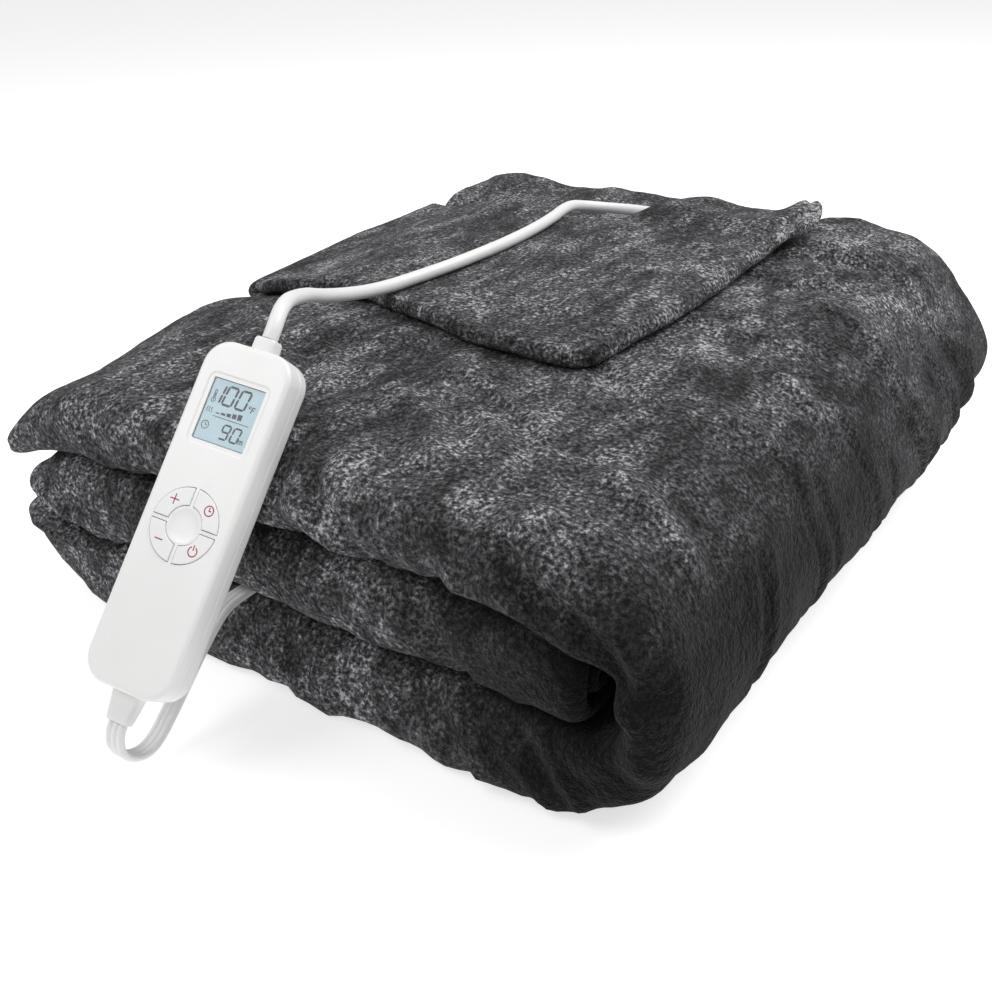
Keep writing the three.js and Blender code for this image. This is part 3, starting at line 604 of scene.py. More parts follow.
# Controller, drawn in its own frame: x across, y along, z out of the face
controller = {
    "middle": (-22.3, -252.1, 104.6), "yaw": 13.7, "tilt": 50.2, "roll": -9.3,
    "width": 44.2, "length": 153, "thickness": 17.5, "corner": 12, "split": 9.6, "wall": 2,
    "faceRound": 2.1, "backRound": 3.2, "flatStart": 0.4, "lip": 0.25, "shellGap": 0.3,
    "windowWidth": 26.4, "windowHeight": 27.7, "windowY": 46,
    "recessDepth": 0.35, "recessMargin": 1.6, "recessSlope": 0.9,
    "bootSlots": ((7.6, 5.6, 73, 78), (13.1, 8.1, 70.5, 74.8)),  # width, thickness, and from where to where along y
    "screwX": 15.4, "screwY": 69, "sinkRadius": 2.6, "sinkDepth": 4,
}
throughFace = (-6, 1)  # heights of a cut that goes through the face
keys = {
    "ringY": -4, "outer": 16.3, "inner": 8.7, "spacing": 2.2, "gap": 0.3,
    "foot": -3.3, "proud": 0.5, "edge": 0.4,
    "dish": 0.55, "dishMargin": 1.3, "inkHeight": 0.05, "inkDepth": 0.02,
    "dishProfile": ((0.5, 1), (0.72, 0.86), (0.88, 0.5), (0.96, 0.2), (1, 0), (1, -1.5)),  # shares of radius and depth
}
keySymbols = {  # place, rings (radius, pen, start, end, steps) and strokes (x0, y0, x1, y1, pen) from there
    "timer": ((9.1, 9.2), [(2.15, 0.5, 0, 359.5, 36)], [(0, -0.2, 0, 1.5, 0.45), (-0.2, 0, 1.15, 0, 0.45)]),
    "plus": ((-8.6, 9.2), [], [(-2.3, 0, 2.3, 0, 0.5), (0, 0.26, 0, 2.3, 0.5), (0, -2.3, 0, -0.26, 0.5)]),
    "minus": ((-8.9, -8.7), [], [(-2, 0, 2, 0, 0.5)]),
    "power": ((8.8, -8.8), [(2.1, 0.5, 118, 422, 32)], [(0, 0.5, 0, 2.9, 0.48)]),
}
turned = (
    Matrix.Rotation(math.radians(controller["yaw"]), 4, "Z")
    @ Matrix.Rotation(math.radians(controller["tilt"]), 4, "X")
    @ Matrix.Rotation(math.radians(controller["roll"]), 4, "Z")
)
controllerPlace = toMetres @ Matrix.Translation(controller["middle"]) @ turned


def keyRing(margin, quarter):  # one key's outline, grown by margin
    steps = 18
    inner, outer, side = keys["inner"] - margin, keys["outer"] + margin, keys["spacing"] / 2 - margin
    innerTurn, outerTurn = math.asin(side / inner), math.asin(side / outer)
    points = []
    for i in range(steps + 1):
        angle = outerTurn + (math.pi / 2 - 2 * outerTurn) * i / steps
        points.append((outer * math.cos(angle), outer * math.sin(angle)))
    for i in range(steps + 1):
        angle = math.pi / 2 - innerTurn - (math.pi / 2 - 2 * innerTurn) * i / steps
        points.append((inner * math.cos(angle), inner * math.sin(angle)))
    turn = quarter * math.pi / 2
    points = np.array(points) @ np.array([[math.cos(turn), math.sin(turn)], [-math.sin(turn), math.cos(turn)]])
    return points + (0, keys["ringY"])


def shellOutline(inset):
    return roundedRectangle(
        controller["width"] - 2 * inset, controller["length"] - 2 * inset, controller["corner"] - inset, 12,
    )


def bootPassages():
    depth = -controller["thickness"] / 2
    passages = []
    for end in (1, -1):
        for width, thickness, near, far in controller["bootSlots"]:
            ring = roundedRectangle(width, thickness, 0.5, 2)
            passages.append(solidObject(*loft([standing(ring, end * y, 0, depth) for y in (near, far)])))
    return passages


def innerRoom(low, high):
    return solidObject(*prism(shellOutline(controller["wall"]), low, high))


def makeFrontShell(look):
    split, lip = -look["split"], look["lip"]
    rings = [atHeight(shellOutline(lip), split), atHeight(shellOutline(0), split + lip)]
    rings += edgeRings(shellOutline, 0, look["faceRound"], 8, 1)
    rings.append(atHeight(shellOutline(look["faceRound"] + look["flatStart"]), 0))
    cutters = [innerRoom(split - 2, -look["wall"])]
    width, height, y = look["windowWidth"], look["windowHeight"], look["windowY"]
    cutters.append(solidObject(*prism(roundedRectangle(width, height, 0.5, 3, 0, y), *throughFace)))
    margin, slope, depth = look["recessMargin"], look["recessSlope"], look["recessDepth"]
    recess = []
    for grow, z in ((margin, -depth), (margin + slope * 0.5, -depth * 0.62), (margin + slope, 0), (margin + slope, 1)):
        recess.append(atHeight(roundedRectangle(width + 2 * grow, height + 2 * grow, 1 + grow, 6, 0, y), z))
    cutters.append(solidObject(*loft(recess)))
    dishRadius = keys["inner"] - keys["dishMargin"]
    dish = [
        atHeight(circle(dishRadius * share, 48, 0, keys["ringY"]), -depth * keys["dish"])
        for share, depth in keys["dishProfile"]
    ]
    cutters.append(solidObject(*loft(dish)))
    cutters += [solidObject(*prism(keyRing(keys["gap"], quarter), *throughFace)) for quarter in range(4)]
    cutters += bootPassages()
    mesh = carve(solidObject(*loft(rings)), cutters)
    shell = finishPiece("controller_front", mesh, whiteShell, "root", controllerPlace, 14)
    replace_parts(shell, "front_shell")


def makeBackShell(look):
    high, low, lip = -look["split"] - look["shellGap"], -look["thickness"], look["lip"]
    rings = [atHeight(shellOutline(look["backRound"] + look["flatStart"]), low)]
    rings += edgeRings(shellOutline, low, look["backRound"], 8, -1)
    rings += [atHeight(shellOutline(0), high - lip), atHeight(shellOutline(lip), high)]
    cutters = [innerRoom(low + look["wall"], 0), *bootPassages()]
    for sx, sy in ((-1, -1), (1, -1), (1, 1), (-1, 1)):
        sink = circle(look["sinkRadius"], 28, sx * look["screwX"], sy * look["screwY"])
        cutters.append(solidObject(*prism(sink, low - 1, low + look["sinkDepth"])))
    mesh = carve(solidObject(*loft(rings)), cutters)
    shell = finishPiece("controller_back", mesh, whiteShell, "root", controllerPlace, 16)
    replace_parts(shell, "back_shell")


def makeDisplay(look):
    width, height, y = look["windowWidth"], look["windowHeight"], look["windowY"]
    clearance = 0.5

    def panelOutline(inset):
        return roundedRectangle(width - clearance - 2 * inset, height - clearance - 2 * inset, 0.5, 3, 0, y)

    for name, low, high, edge, finish, slotName, node in (
        ("display_panel", -2.6, -0.95, 0.12, lcdFace, "lcd_face", "lcd_glass"),
        ("display_lens", -0.75, -0.35, 0.1, clearLens, "clear_lens", "display_window"),
    ):
        block = roundedBlock(panelOutline, low, high, edge, 2)
        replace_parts(addPiece(name, *block, finish, slotName, place=controllerPlace, crease=30), node)


def flatShapes(shapes, low, high):  # thin prisms from closed outlines, as one mesh
    verts, faces = [], []
    for outline in shapes:
        points, solid = prism(np.array(outline), low, high)
        faces += [tuple(i + sum(map(len, verts)) for i in face) for face in solid]
        verts.append(points)
    return np.vstack(verts), faces


def stroke(x0, y0, x1, y1, pen, point=0.0):  # a bar, with pointed ends where point is given
    along = unit(np.array([x1 - x0, y1 - y0], float))
    side = np.array([-along[1], along[0]]) * pen / 2
    a, b = np.array([x0, y0]), np.array([x1, y1])
    if point:
        step = along * point
        return [a, a + step - side, b - step - side, b, b - step + side, a + step + side]
    return [a - side, b - side, b + side, a + side]


def ringShape(x, y, radius, pen, start, end, steps):  # one outline, left open by a hair when it is a full ring
    angles = np.radians(np.linspace(start, end, steps + 1))
    outer, inner = radius + pen / 2, radius - pen / 2
    sides = ((outer, angles), (inner, angles[::-1]))
    return [(x + r * math.cos(angle), y + r * math.sin(angle)) for r, turn in sides for angle in turn]


segmentPlaces = {  # ends of the seven strokes of a figure, in shares of its width and height
    "top": (0, 1, 1, 1), "upperRight": (1, 1, 1, 0.5), "lowerRight": (1, 0.5, 1, 0), "bottom": (1, 0, 0, 0),
    "lowerLeft": (0, 0, 0, 0.5), "upperLeft": (0, 0.5, 0, 1), "middle": (0, 0.5, 1, 0.5),
}
figures = {
    "0": ("top", "upperRight", "lowerRight", "bottom", "lowerLeft", "upperLeft"),
    "1": ("upperRight", "lowerRight"),
    "9": ("top", "upperRight", "lowerRight", "bottom", "upperLeft", "middle"),
}


def figure(digit, x, y, width, height, pen, slant=0.14):
    shapes = []
    for part in figures[digit]:
        x0, y0, x1, y1 = segmentPlaces[part]
        ends = [(x + px * width + slant * py * height, y + py * height) for px, py in ((x0, y0), (x1, y1))]
        gap = 0.02 * width
        direction = unit(np.subtract(ends[1], ends[0]))
        a, b = ends[0] + direction * gap, ends[1] - direction * gap
        shapes.append(stroke(*a, *b, pen, pen * 0.5))
    return shapes


def makeDisplayInk():
    shapes = []
    for digit, x in (("1", -11.8), ("0", -5.6), ("0", 1.1)):  # temperature
        shapes += figure(digit, x, 49.3, 4.7, 8.2, 1.0)
    for digit, x in (("9", -0.9), ("0", 4.5)):  # minutes
        shapes += figure(digit, x, 35.2, 3.6, 6.2, 0.82)
    shapes.append(ringShape(8.3, 51.6, 0.5, 0.36, 0, 359, 14))  # degree sign and its letter
    for bar in ((9.3, 49.3, 9.7, 51.9, 0.45), (9.6, 51.8, 11.1, 51.8, 0.45), (9.5, 50.7, 10.7, 50.7, 0.42)):
        shapes.append(stroke(*bar))
    barY = 44.9
    for i, height in enumerate((0.5, 1.0, 1.5, 2.0, 2.5)):  # heat level bars
        left = -6.6 + i * 2.75
        right, top = left + 2.1, barY + height
        shapes.append([(left, barY), (right, barY), (right, top), (left, top)])
    shapes.append(stroke(-7.4, 43.6, 11.0, 43.6, 0.3))
    shapes.append(ringShape(-9.4, 39.0, 1.75, 0.34, 0, 359.5, 30))  # clock
    shapes += [stroke(-9.4, 39.0, -9.4, 40.2, 0.3), stroke(-9.5, 39.0, -8.4, 39.0, 0.3)]
    for i in range(3):  # small m after the minutes
        shapes.append(stroke(9.1 + i * 0.9, 35.3, 9.1 + i * 0.9, 36.9, 0.4))
    shapes.append(stroke(8.9, 36.95, 11.1, 36.95, 0.4))
    shapes.append(ringShape(-10.1, 50.2, 0.95, 0.32, 115, 425, 22))  # thermometer
    shapes += [stroke(-10.55, 51.0, -10.55, 54.2, 0.28), stroke(-9.65, 51.0, -9.65, 54.2, 0.28)]
    shapes.append(ringShape(-10.1, 54.2, 0.45, 0.28, 0, 180, 10))
    shapes.append(stroke(-10.1, 50.1, -10.1, 53.4, 0.3))
    for i in range(3):  # rising warm air
        x = -11.3 + i * 1.15
        waves = [(x + 0.22 * math.sin(k * 1.25), 44.6 + k * 0.34) for k in range(8)]
        shapes += [stroke(*a, *b, 0.3) for a, b in zip(waves, waves[1:])]
    edge = stroke(-12.85, 32.6, -12.85, 59.4, 0.35)
    low = -0.945  # just into the panel's face
    for name, outlines, high, finish in (
        ("display_symbols", shapes, -0.91, lcdInk), ("display_side_line", [edge], -0.9, darkEdge),
    ):
        addPiece(name, *flatShapes(outlines, low, high), finish, "lcd_face", place=controllerPlace, crease=30)


def makeKeys(look):
    top, edge = look["proud"], look["edge"]
    for quarter, (name, ((x, y), rounds, bars)) in enumerate(keySymbols.items()):

        def grown(inset):
            return keyRing(-inset, quarter)

        body = name + "_key"
        rings = [atHeight(grown(0), look["foot"]), *edgeRings(grown, top, edge, 5, 1)]
        rings.append(atHeight(grown(edge + 0.25), top))
        cap = addPiece("key_cap_" + name, *loft(rings), whiteKey, "white_key", body, controllerPlace, 25)
        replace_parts(cap, "key_" + name)
        y += look["ringY"]
        shapes = [ringShape(x, y, *ring) for ring in rounds]
        shapes += [stroke(x + x0, y + y0, x + x1, y + y1, pen) for x0, y0, x1, y1, pen in bars]
        ink = flatShapes(shapes, top - look["inkDepth"], top + look["inkHeight"])
        addPiece("key_symbol_" + name, *ink, keyInk, "white_key", body, controllerPlace, 30)


bootNeck = [(70.9, 12.4, 7.4, 1), (73.9, 12.4, 7.4, 1), (73.9, 7, 5, 1), (76.8, 7, 5, 1)]
boots = {  # which end of the case, and the sections outside it: (y, width, thickness, radius)
    "output": (1, [
        (76.8, 10, 7.9, 1.4), (77.1, 10.5, 8.4, 1.6), (81.6, 10.4, 8.3, 1.6), (82.4, 10.0, 8.0, 1.8),
        (82.8, 9.2, 7.5, 2),
    ]),
    "supply": (-1, [
        (76.8, 14.7, 5.9, 1.6), (77.1, 15.2, 6.4, 1.8), (83, 13.7, 6.3, 2), (88.6, 12.1, 6.0, 2.2),
        (89.5, 11.7, 5.6, 2.2), (89.8, 11.0, 5.0, 2),
    ]),
}


def makeBoots():
    depth = -controller["thickness"] / 2
    for name, (end, stations) in boots.items():
        rings = []
        for y, width, thickness, radius in bootNeck + stations:
            ring = roundedRectangle(width, thickness, min(radius, thickness / 2 - 0.01), 6)
            rings.append(standing(ring, end * y, 0, depth))
        collar = addPiece(name + "_collar", *loft(rings), whiteBoot, "white_boot", place=controllerPlace, crease=40)
        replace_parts(collar, name + "_boot")


makeFrontShell(controller)
makeBackShell(controller)
makeDisplay(controller)
makeDisplayInk()
makeKeys(keys)
makeBoots()
print("controller made")

# Finishes of the CAD parts that stay
cadFinishes = {
    "white_shell": whiteShell, "white_key": whiteKey, "white_boot": whiteBoot, "white_lead": whiteLead,
    "clear_lens": clearLens, "lcd_face": lcdFace, "pale_plastic": palePlastic, "board": boardGreen,
    "black_part": blackPart, "capacitor_case": capacitorYellow, "wire_coat": wireCoat, "steel": steel,
    "brass": brass, "plush": plush, "backing": plush,
}
for part in frame["record"]["subparts"]:
    mesh = nodes[part["node"]].data
    mesh.materials.clear()
    mesh.materials.append(cadFinishes[part["material_slot"]])

# Throw: one sheet, folded to four layers and rolled in three bands, with one corner turned back
throw = {
    "flat": (1.3, 1.8),  # metres, before folding
    "width": 380, "depth": 454, "band": 41, "slot": 4.2, "gap": 0.8,  # mm, as in the CAD
    "layer": 9.4, "layerGap": 0.85, "rim": 4.6,
    "fineStep": 3.4, "coarseStep": 6.5, "hiddenStep": 15, "noseStep": 2, "leftStep": 2.6, "rightStep": 2.3,
    "nose": 24, "eyeReach": 40,  # how far the middle band and the hollow reach past the start of the wide turn
    "foldDepth": 15, "foldSquare": 2.8,  # how deep and how square the front folds are
}
flap = {  # the corner's front, right and back edges, and the settings of its shape
    "front": [
        (-190, -44), (-165, -60), (-131, -69), (-105, -61), (-60, -68), (-1, -85), (40, -90), (60, -91.5), (70, -89),
    ],
    "right": [
        (70, -89), (76, -80), (78.5, -62), (83, -25), (84.5, 10), (85, 60), (86, 115), (91, 140), (95, 160),
        (88, 181), (72, 193),
    ],
    "back": [
        (-190, 145), (-120, 130), (-62, 112), (-45, 110), (-28, 118), (-11, 137), (12, 170), (38, 193), (55, 197),
        (72, 193),
    ],
    "across": 265, "along": 240, "step": 3.2, "curvePoints": 1001,
    "level": 133.6, "turnRadius": 5.35, "tuckX": -184.5,
    "hump": 9.6, "humpThinner": 0.5, "knot": 6, "knotPlace": (88, 174), "knotSize": (16, 20),
    "leadY": (-90, -47, 0, 50, 93, 125), "leadX": (-59, -56.5, -50.5, -49, -53, -57),
    "leadHalf": 7,  # the corner is kept flat this far to each side of the lead
    "broad": (1.7, 52, 2.7), "fine": (0.9, 21, 6.1),  # height, size and seed of its waves
    "stitchInside": 9, "stitchDepth": 3.2, "stitchWidth": 1.6, "puff": 0.8, "puffInside": 4.6, "puffWidth": 5,
}
halfLayer = throw["layer"] / 2
halfBand = throw["band"] / 2
lowTop = throw["band"]  # tops of the three bands and of the slot between the lower two
slotTop = lowTop + throw["slot"]
middleTop = slotTop + throw["band"] + throw["gap"]
stackTop = middleTop + throw["band"]
lowBand = halfBand
middleBand = lowBand + throw["band"] + throw["slot"]
highBand = middleBand + throw["band"] + throw["gap"]
leftRadius, rightRadius = (middleBand - lowBand) / 2, (highBand - lowBand) / 2
rightLevel = (lowBand + highBand) / 2
leftEdge = -throw["width"] / 2
leftX = leftEdge + leftRadius + halfBand
rightX = throw["width"] / 2 - rightRadius - halfBand
rimSteps = np.array([0, 0.25, 0.9, 2.0, 3.4])  # closer steps where a hem rounds off
legs = np.cumsum([
    0, rightX - leftX, math.pi * leftRadius, rightX - leftX, math.pi * rightRadius, rightX + throw["width"] / 2,
])  # distances along the rolled strip where its straight and curved parts meet


def rollPlace(s):  # the strip's middle line and its outward direction, in x and z
    leftTurn = (s - legs[1]) / leftRadius
    rightTurn = (s - legs[3]) / rightRadius
    parts = [s < legs[1], s < legs[2], s < legs[3], s < legs[4]]
    outX = np.select(parts, [0 * s, -np.sin(leftTurn), 0 * s, np.sin(rightTurn)], 0 * s)
    outZ = np.select(parts, [0 * s + 1, np.cos(leftTurn), 0 * s - 1, -np.cos(rightTurn)], 0 * s + 1)
    x = np.select(parts, [
        rightX - s, leftX + leftRadius * outX, leftX + s - legs[2], rightX + rightRadius * outX,
    ], rightX - (s - legs[4]))
    z = np.select(parts, [
        0 * s + middleBand, (lowBand + middleBand) / 2 + leftRadius * outZ,
        0 * s + lowBand, rightLevel + rightRadius * outZ,
    ], 0 * s + highBand)
    return x, z, outX, outZ


def stepped(start, end, size):
    return np.linspace(start, end, max(2, int(abs(end - start) / size) + 1), endpoint=False)


def stripSteps():
    start, rim, coarse = -throw["nose"], throw["rim"], throw["coarseStep"]
    return np.concatenate([
        start + rimSteps, stepped(start + rim, 0, throw["noseStep"]), stepped(0, legs[1], coarse),
        stepped(legs[1], legs[2], throw["leftStep"]), stepped(legs[2], legs[3], coarse),
        stepped(legs[3], legs[4], throw["rightStep"]), stepped(legs[4], legs[5] - rim, throw["fineStep"]),
        legs[5] - rimSteps[::-1],
    ])


def foldLine():  # the cloth's middle line across the strip: (y, distance outwards), from hem to hem
    front, back = -throw["depth"] / 2, throw["depth"] / 2
    pitch, rim, hidden = throw["layer"] + throw["layerGap"], throw["rim"], throw["hiddenStep"]
    outer, inner = 1.5 * pitch, 0.5 * pitch
    turnY = front + halfLayer + throw["foldDepth"]
    angle = np.linspace(0, math.pi, 400)
    power = 2 / throw["foldSquare"]
    bend = np.column_stack([
        turnY - throw["foldDepth"] * np.abs(np.sin(angle)) ** power,
        outer * np.sign(np.cos(angle)) * np.abs(np.cos(angle)) ** power,
    ])
    run = runLengths(bend)
    bend = resample(bend, run, np.linspace(0, run[-1], 30))
    half = np.linspace(0, math.pi, 9)
    backY = back - halfLayer - inner
    innerY = front + 2 * halfLayer + 1 + halfLayer + inner
    nearFold, nearHem = turnY + 30, back - 24

    def line(ys, level):
        return np.column_stack([ys, np.full(len(ys), level)])

    rows = [
        line(np.concatenate([back - rimSteps, stepped(back - rim, turnY, throw["fineStep"])]), outer),
        bend[:-1],
        line(stepped(turnY, nearFold, 4), -outer),
        line(stepped(nearFold, backY, hidden), -outer),
        np.column_stack([backY + inner * np.sin(half), -2 * inner - inner * np.cos(half)])[:-1],
        line(stepped(backY, innerY, hidden), -inner),
        np.column_stack([innerY - inner * np.sin(half), -inner * np.cos(half)])[:-1],
        line(stepped(innerY, nearHem, hidden), inner),
        line(np.concatenate([stepped(nearHem, back - rim, 4), back - rimSteps[::-1]]), inner),
    ]
    return np.vstack(rows), len(rows[0]), len(rows[0]) + len(bend) - 1


def rimShare(distance):  # rounds a hem: 0 at the very edge, 1 inside
    near = np.clip(distance / throw["rim"], 0, 1)
    return np.sqrt(1 - (1 - near) ** 2)


def ripple(x, y, z, size, seed):
    return np.array([
        noise.noise(Vector((a / size + seed, b / size - seed, c / size + 2 * seed))) for a, b, c in zip(x, y, z)
    ])


creases = [  # on the wide turn: depth (a ridge when negative), width, and (distance along the strip, y) pairs
    (2.6, 3, ((747, 55), (734, 50), (720, 44), (708, 41), (698, 42), (679, 64), (664, 82))),
    (2.2, 3, ((724, 57), (706, 59), (692, 66), (668, 92))),
    (3.4, 4, ((690, 169), (676, 184), (650, 196))),
    (2.0, 3, ((712, -25), (697, -18), (682, -12), (660, 0))),
    (2.0, 3, ((686, 13), (662, 26))),
    (2.3, 3, ((734, -92), (717, -87), (703, -86), (696, -88), (682, -78), (660, -74))),
    (1.8, 3, ((710, -70), (695, -66), (676, -60))),
    (2.4, 4, ((706, 118), (690, 122), (668, 136))),
    (2.6, 4, ((700, -140), (682, -146), (655, -150))),
    (-2.6, 6, ((765, 148), (741, 151), (727, 149), (714, 151), (704, 158), (687, 163), (672, 172))),
    (-1.9, 5, ((736, -29), (724, -36), (712, -35))),
    (-2.2, 7, ((748, -166), (734, -174), (716, -182))),
    (-1.9, 5, ((806, 8), (789, 5), (767, -3), (745, 6))),
    (-2.1, 5, ((806, 97), (791, 93), (769, 88), (750, 104))),
    (-2.0, 5, ((800, 142), (784, 143), (754, 150), (745, 164))),
    (1.9, 5, ((860, -120), (830, -132), (800, -150), (780, -178))),
    (-1.9, 7, ((905, -130), (880, -142), (846, -158), (820, -190))),
    (1.8, 5, ((835, -60), (806, -74), (776, -100))),
    (1.8, 5, ((960, -120), (935, -135), (915, -165))),
    (-2.0, 8, ((1010, -95), (985, -125), (965, -165))),
    (1.7, 5, ((1035, -20), (1012, -60), (1000, -95))),
]
frontCreases = [  # on the front folds: depth, width, and (x, z) pairs
    (6.5, 5, ((-132, 44), (-150, 47), (-168, 53), (-184, 57))),
    (5.0, 5, ((118, 117), (134, 107), (146, 98), (159, 88), (166, 76))),
    (-3.0, 6, ((96, 97), (120, 97), (142, 90), (159, 80), (174, 64), (176, 46))),
    (2.2, 4, ((118, 36), (136, 22), (144, 12))),
    (-2.0, 5, ((86, 40), (100, 24), (108, 12))),
    (2.2, 5, ((20, 122), (42, 106), (50, 96))),
    (-2.0, 6, ((-8, 122), (14, 108), (30, 94))),
    (2.0, 5, ((70, 78), (84, 64), (92, 52))),
    (2.0, 5, ((-10, 34), (6, 20), (12, 10))),
]


def lineDistance(u, v, points):
    best = np.full(u.shape, 1e9)
    for (u0, v0), (u1, v1) in zip(points, points[1:]):
        du, dv = u1 - u0, v1 - v0
        t = np.clip(((u - u0) * du + (v - v0) * dv) / (du * du + dv * dv), 0, 1)
        best = np.minimum(best, np.hypot(u - u0 - t * du, v - v0 - t * dv))
    return best


def window(value, start, end, blend, blendEnd=None):  # 1 between start and end, 0 outside them
    return smooth((value - start) / blend) * smooth((end - value) / (blendEnd or blend))


def bell(value, middle, width):
    return np.exp(-((value - middle) / width) ** 2)


def lobe(angle, middle, reach):  # 1 in the middle, 0 from reach degrees away
    return np.cos(np.radians(np.clip((angle - middle) / reach, -1, 1) * 90)) ** 2


def flatRipple(x, y, height, size, seed):
    return height * ripple(x, y, 0 * x, size, seed)


cloth = {  # noise sizes in mm with their seeds, and how high each stands on each part of the cloth
    "broad": (46, 3.1), "fine": (17, 8.4), "small": (7.5, 5.2), "pleat": (19, 6.6), "left": (24, 2.2),
    "topHeights": (3.2, 1.5, 0.45), "frontHeights": (2.2, 0.9, 0.35), "leftHeights": (1.4, 0.5),
    "creaseGrowth": 1.4, "bank": 0.5, "bankPlace": 2.1, "bankWidth": 0.9,  # a raised bank runs beside each crease
    "underX": (-200, 88, 20, 14), "underY": (-78, 190, 14),  # the part that the turned corner hides
}


def wrinkles(x, y, z, s, look):  # how far the outer face stands out from its plain place
    shown = smooth((s - legs[3]) / 30)
    frontFold = smooth((-190 - y) / 15)
    leftTurn = window(s, legs[1], legs[2], 20)
    under = window(x, *look["underX"]) * window(y, *look["underY"]) * (s > legs[4])
    fine, small = ripple(x, y, z, *look["fine"]), ripple(x, y, z, *look["small"])
    a, b, c = look["topHeights"]
    height = (a * ripple(x, y * 0.8, z, *look["broad"]) + b * fine + c * small) * shown * (1 - under)
    a, b, c = look["frontHeights"]
    pleat = ripple(x, y * 0.35, z * 0.35, *look["pleat"])
    height += (a * pleat + b * fine + c * small) * frontFold * (1 - 0.6 * shown)
    a, b = look["leftHeights"]
    height += (a * ripple(x, y, z, *look["left"]) + b * fine) * leftTurn * (1 - frontFold)
    for lines, u, v, share in ((creases, s, y, 1 - under), (frontCreases, x, z, frontFold)):
        for depth, width, points in lines:
            gap = lineDistance(u, v, points) / width
            bank = look["bank"] * depth * bell(gap, look["bankPlace"], look["bankWidth"])
            height += look["creaseGrowth"] * share * (bank - depth * bell(gap, 0, 1))
    return height


dent = {"clear": 0.5, "margin": 0.9, "blend": 15, "room": 26, "hardness": 9}


def pressIn(points, look):  # gives way under the controller
    axes = np.array(turned.to_3x3())
    local = (points - np.array(controller["middle"])) @ axes
    corner, room, hardness = controller["corner"], look["room"], look["hardness"]
    outX = np.clip(np.abs(local[:, 0]) - controller["width"] / 2 + corner, 0, None)
    outY = np.clip(np.abs(local[:, 1]) - controller["length"] / 2 + corner, 0, None)
    outside = np.hypot(outX, outY) - corner
    share = 1 - smooth((outside - look["margin"]) / look["blend"])
    rise = np.clip(local[:, 2] + controller["thickness"] + look["clear"] + room, 0, None)
    pressed = rise / (1 + (rise / room) ** hardness) ** (1 / hardness)
    local[:, 2] += share * (pressed - rise)
    return np.array(controller["middle"]) + local @ axes.T


lie = {
    "low": (2.0, 85, 1.3), "middle": (2.6, 75, 4.7), "top": (2.6, 90, 7.9), "topSinks": 1.2,  # height, size, seed
    "leadX": -35, "leadReach": 24, "slotCloses": 1.9, "slotEnds": (-168, 160, 30),
    "busyX": (-100, 125, 25), "busyY": (-120, 30),  # the top stays as drawn here
    "bulge": (62, 9.1), "bulgeOut": 3.4, "bottomIn": 9, "bottomHeight": 28, "lowest": 0.3,
}


def waved(x, y, z, look):  # the bands' own waves, and the slot that closes away from the supply lead
    away = 1 - bell(x, look["leadX"], look["leadReach"])
    closing = look["slotCloses"] * away * window(x, *look["slotEnds"])
    shift = np.interp(z, [0, lowTop, slotTop, middleTop, stackTop], [0, 1, -1, 0, 0]) * closing
    lowWave, middleWave, topWave = (flatRipple(x, y, *look[band]) for band in ("low", "middle", "top"))
    startY, blend = look["busyY"]
    busy = window(x, *look["busyX"]) * smooth((y - startY) / blend)
    backSag = -5 * smooth((y - 150) / 75) * smooth((x - 100) / 50)
    backSag -= 5 * smooth((y - 120) / 60) * smooth((x - 5) / 40) * (1 - smooth((x - 62) / 22))
    backSag += 6 * bell(x, -158, 45) * smooth((y - 165) / 45)
    lowShare = np.interp(z, [0, 43, middleTop], [0, 1, 0])
    middleShare = np.interp(z, [43, middleTop, stackTop], [0, 1, 0])
    topShare = np.interp(z, [middleTop, stackTop, 140], [0, 1, 1])
    moved = z + shift + lowShare * lowWave * away + middleShare * middleWave
    return moved + topShare * ((topWave - look["topSinks"]) * (1 - busy) + backSag)


droop = {
    "startX": -110, "run": 82, "thinner": 0.52, "down": 16, "left": 3,
    "frontY": (-219, -171, -102, -34, 60), "share": (1, 0.75, 0.33, 0.14, 0.04),
    "cornerThinner": 0.25, "cornerIn": 5,
}


def drooped(x, y, z, top, look):  # the top band thins and hangs down at its left front corner
    frontness = np.interp(y, look["frontY"], look["share"]) * top
    reach = np.clip((look["startX"] - x) / look["run"], 0, 1.1)
    leftFold = smooth((-98 - x) / 80) * smooth((y + 85) / 45) * (1 - smooth((y - 138) / 36))
    thinning = (1 - look["thinner"] * reach ** 1.6 * frontness) * (1 - look["cornerThinner"] * leftFold * top)
    above = np.maximum(z, middleTop) - middleTop
    z = np.where(top > 0.5, np.minimum(z, middleTop) + above * thinning, z)
    z -= look["down"] * reach ** 3 * frontness
    shift = look["cornerIn"] * leftFold * top * smooth((-150 - x) / 35)
    return x - look["left"] * reach ** 3 * frontness + shift, z


turnSag = {
    "y": (-230, -70, 40, 130, 200), "out": (6, 7, 12, 13, 7), "angle": -27, "reach": 50,
    "inward": 9, "inwardAngle": 34, "inwardReach": 44,
}


def sagged(x, y, z, startX, look):  # the wide turn hangs out below its middle and draws in above it
    turnX, turnZ = np.clip(startX - rightX, 0, None), z - rightLevel
    angle = np.degrees(np.arctan2(turnZ, turnX + 1e-6))
    radius = np.hypot(turnX, turnZ)
    out = np.interp(y, look["y"], look["out"]) * lobe(angle, look["angle"], look["reach"])
    out -= look["inward"] * lobe(angle, look["inwardAngle"], look["inwardReach"]) * smooth((y - 40) / 110)
    inTurn = turnX > 0
    push = 1 + out * (radius / (rightRadius + halfBand)) ** 3 / np.maximum(radius, 1)
    return np.where(inTurn, rightX + turnX * push, x), np.where(inTurn, rightLevel + turnZ * push, z)


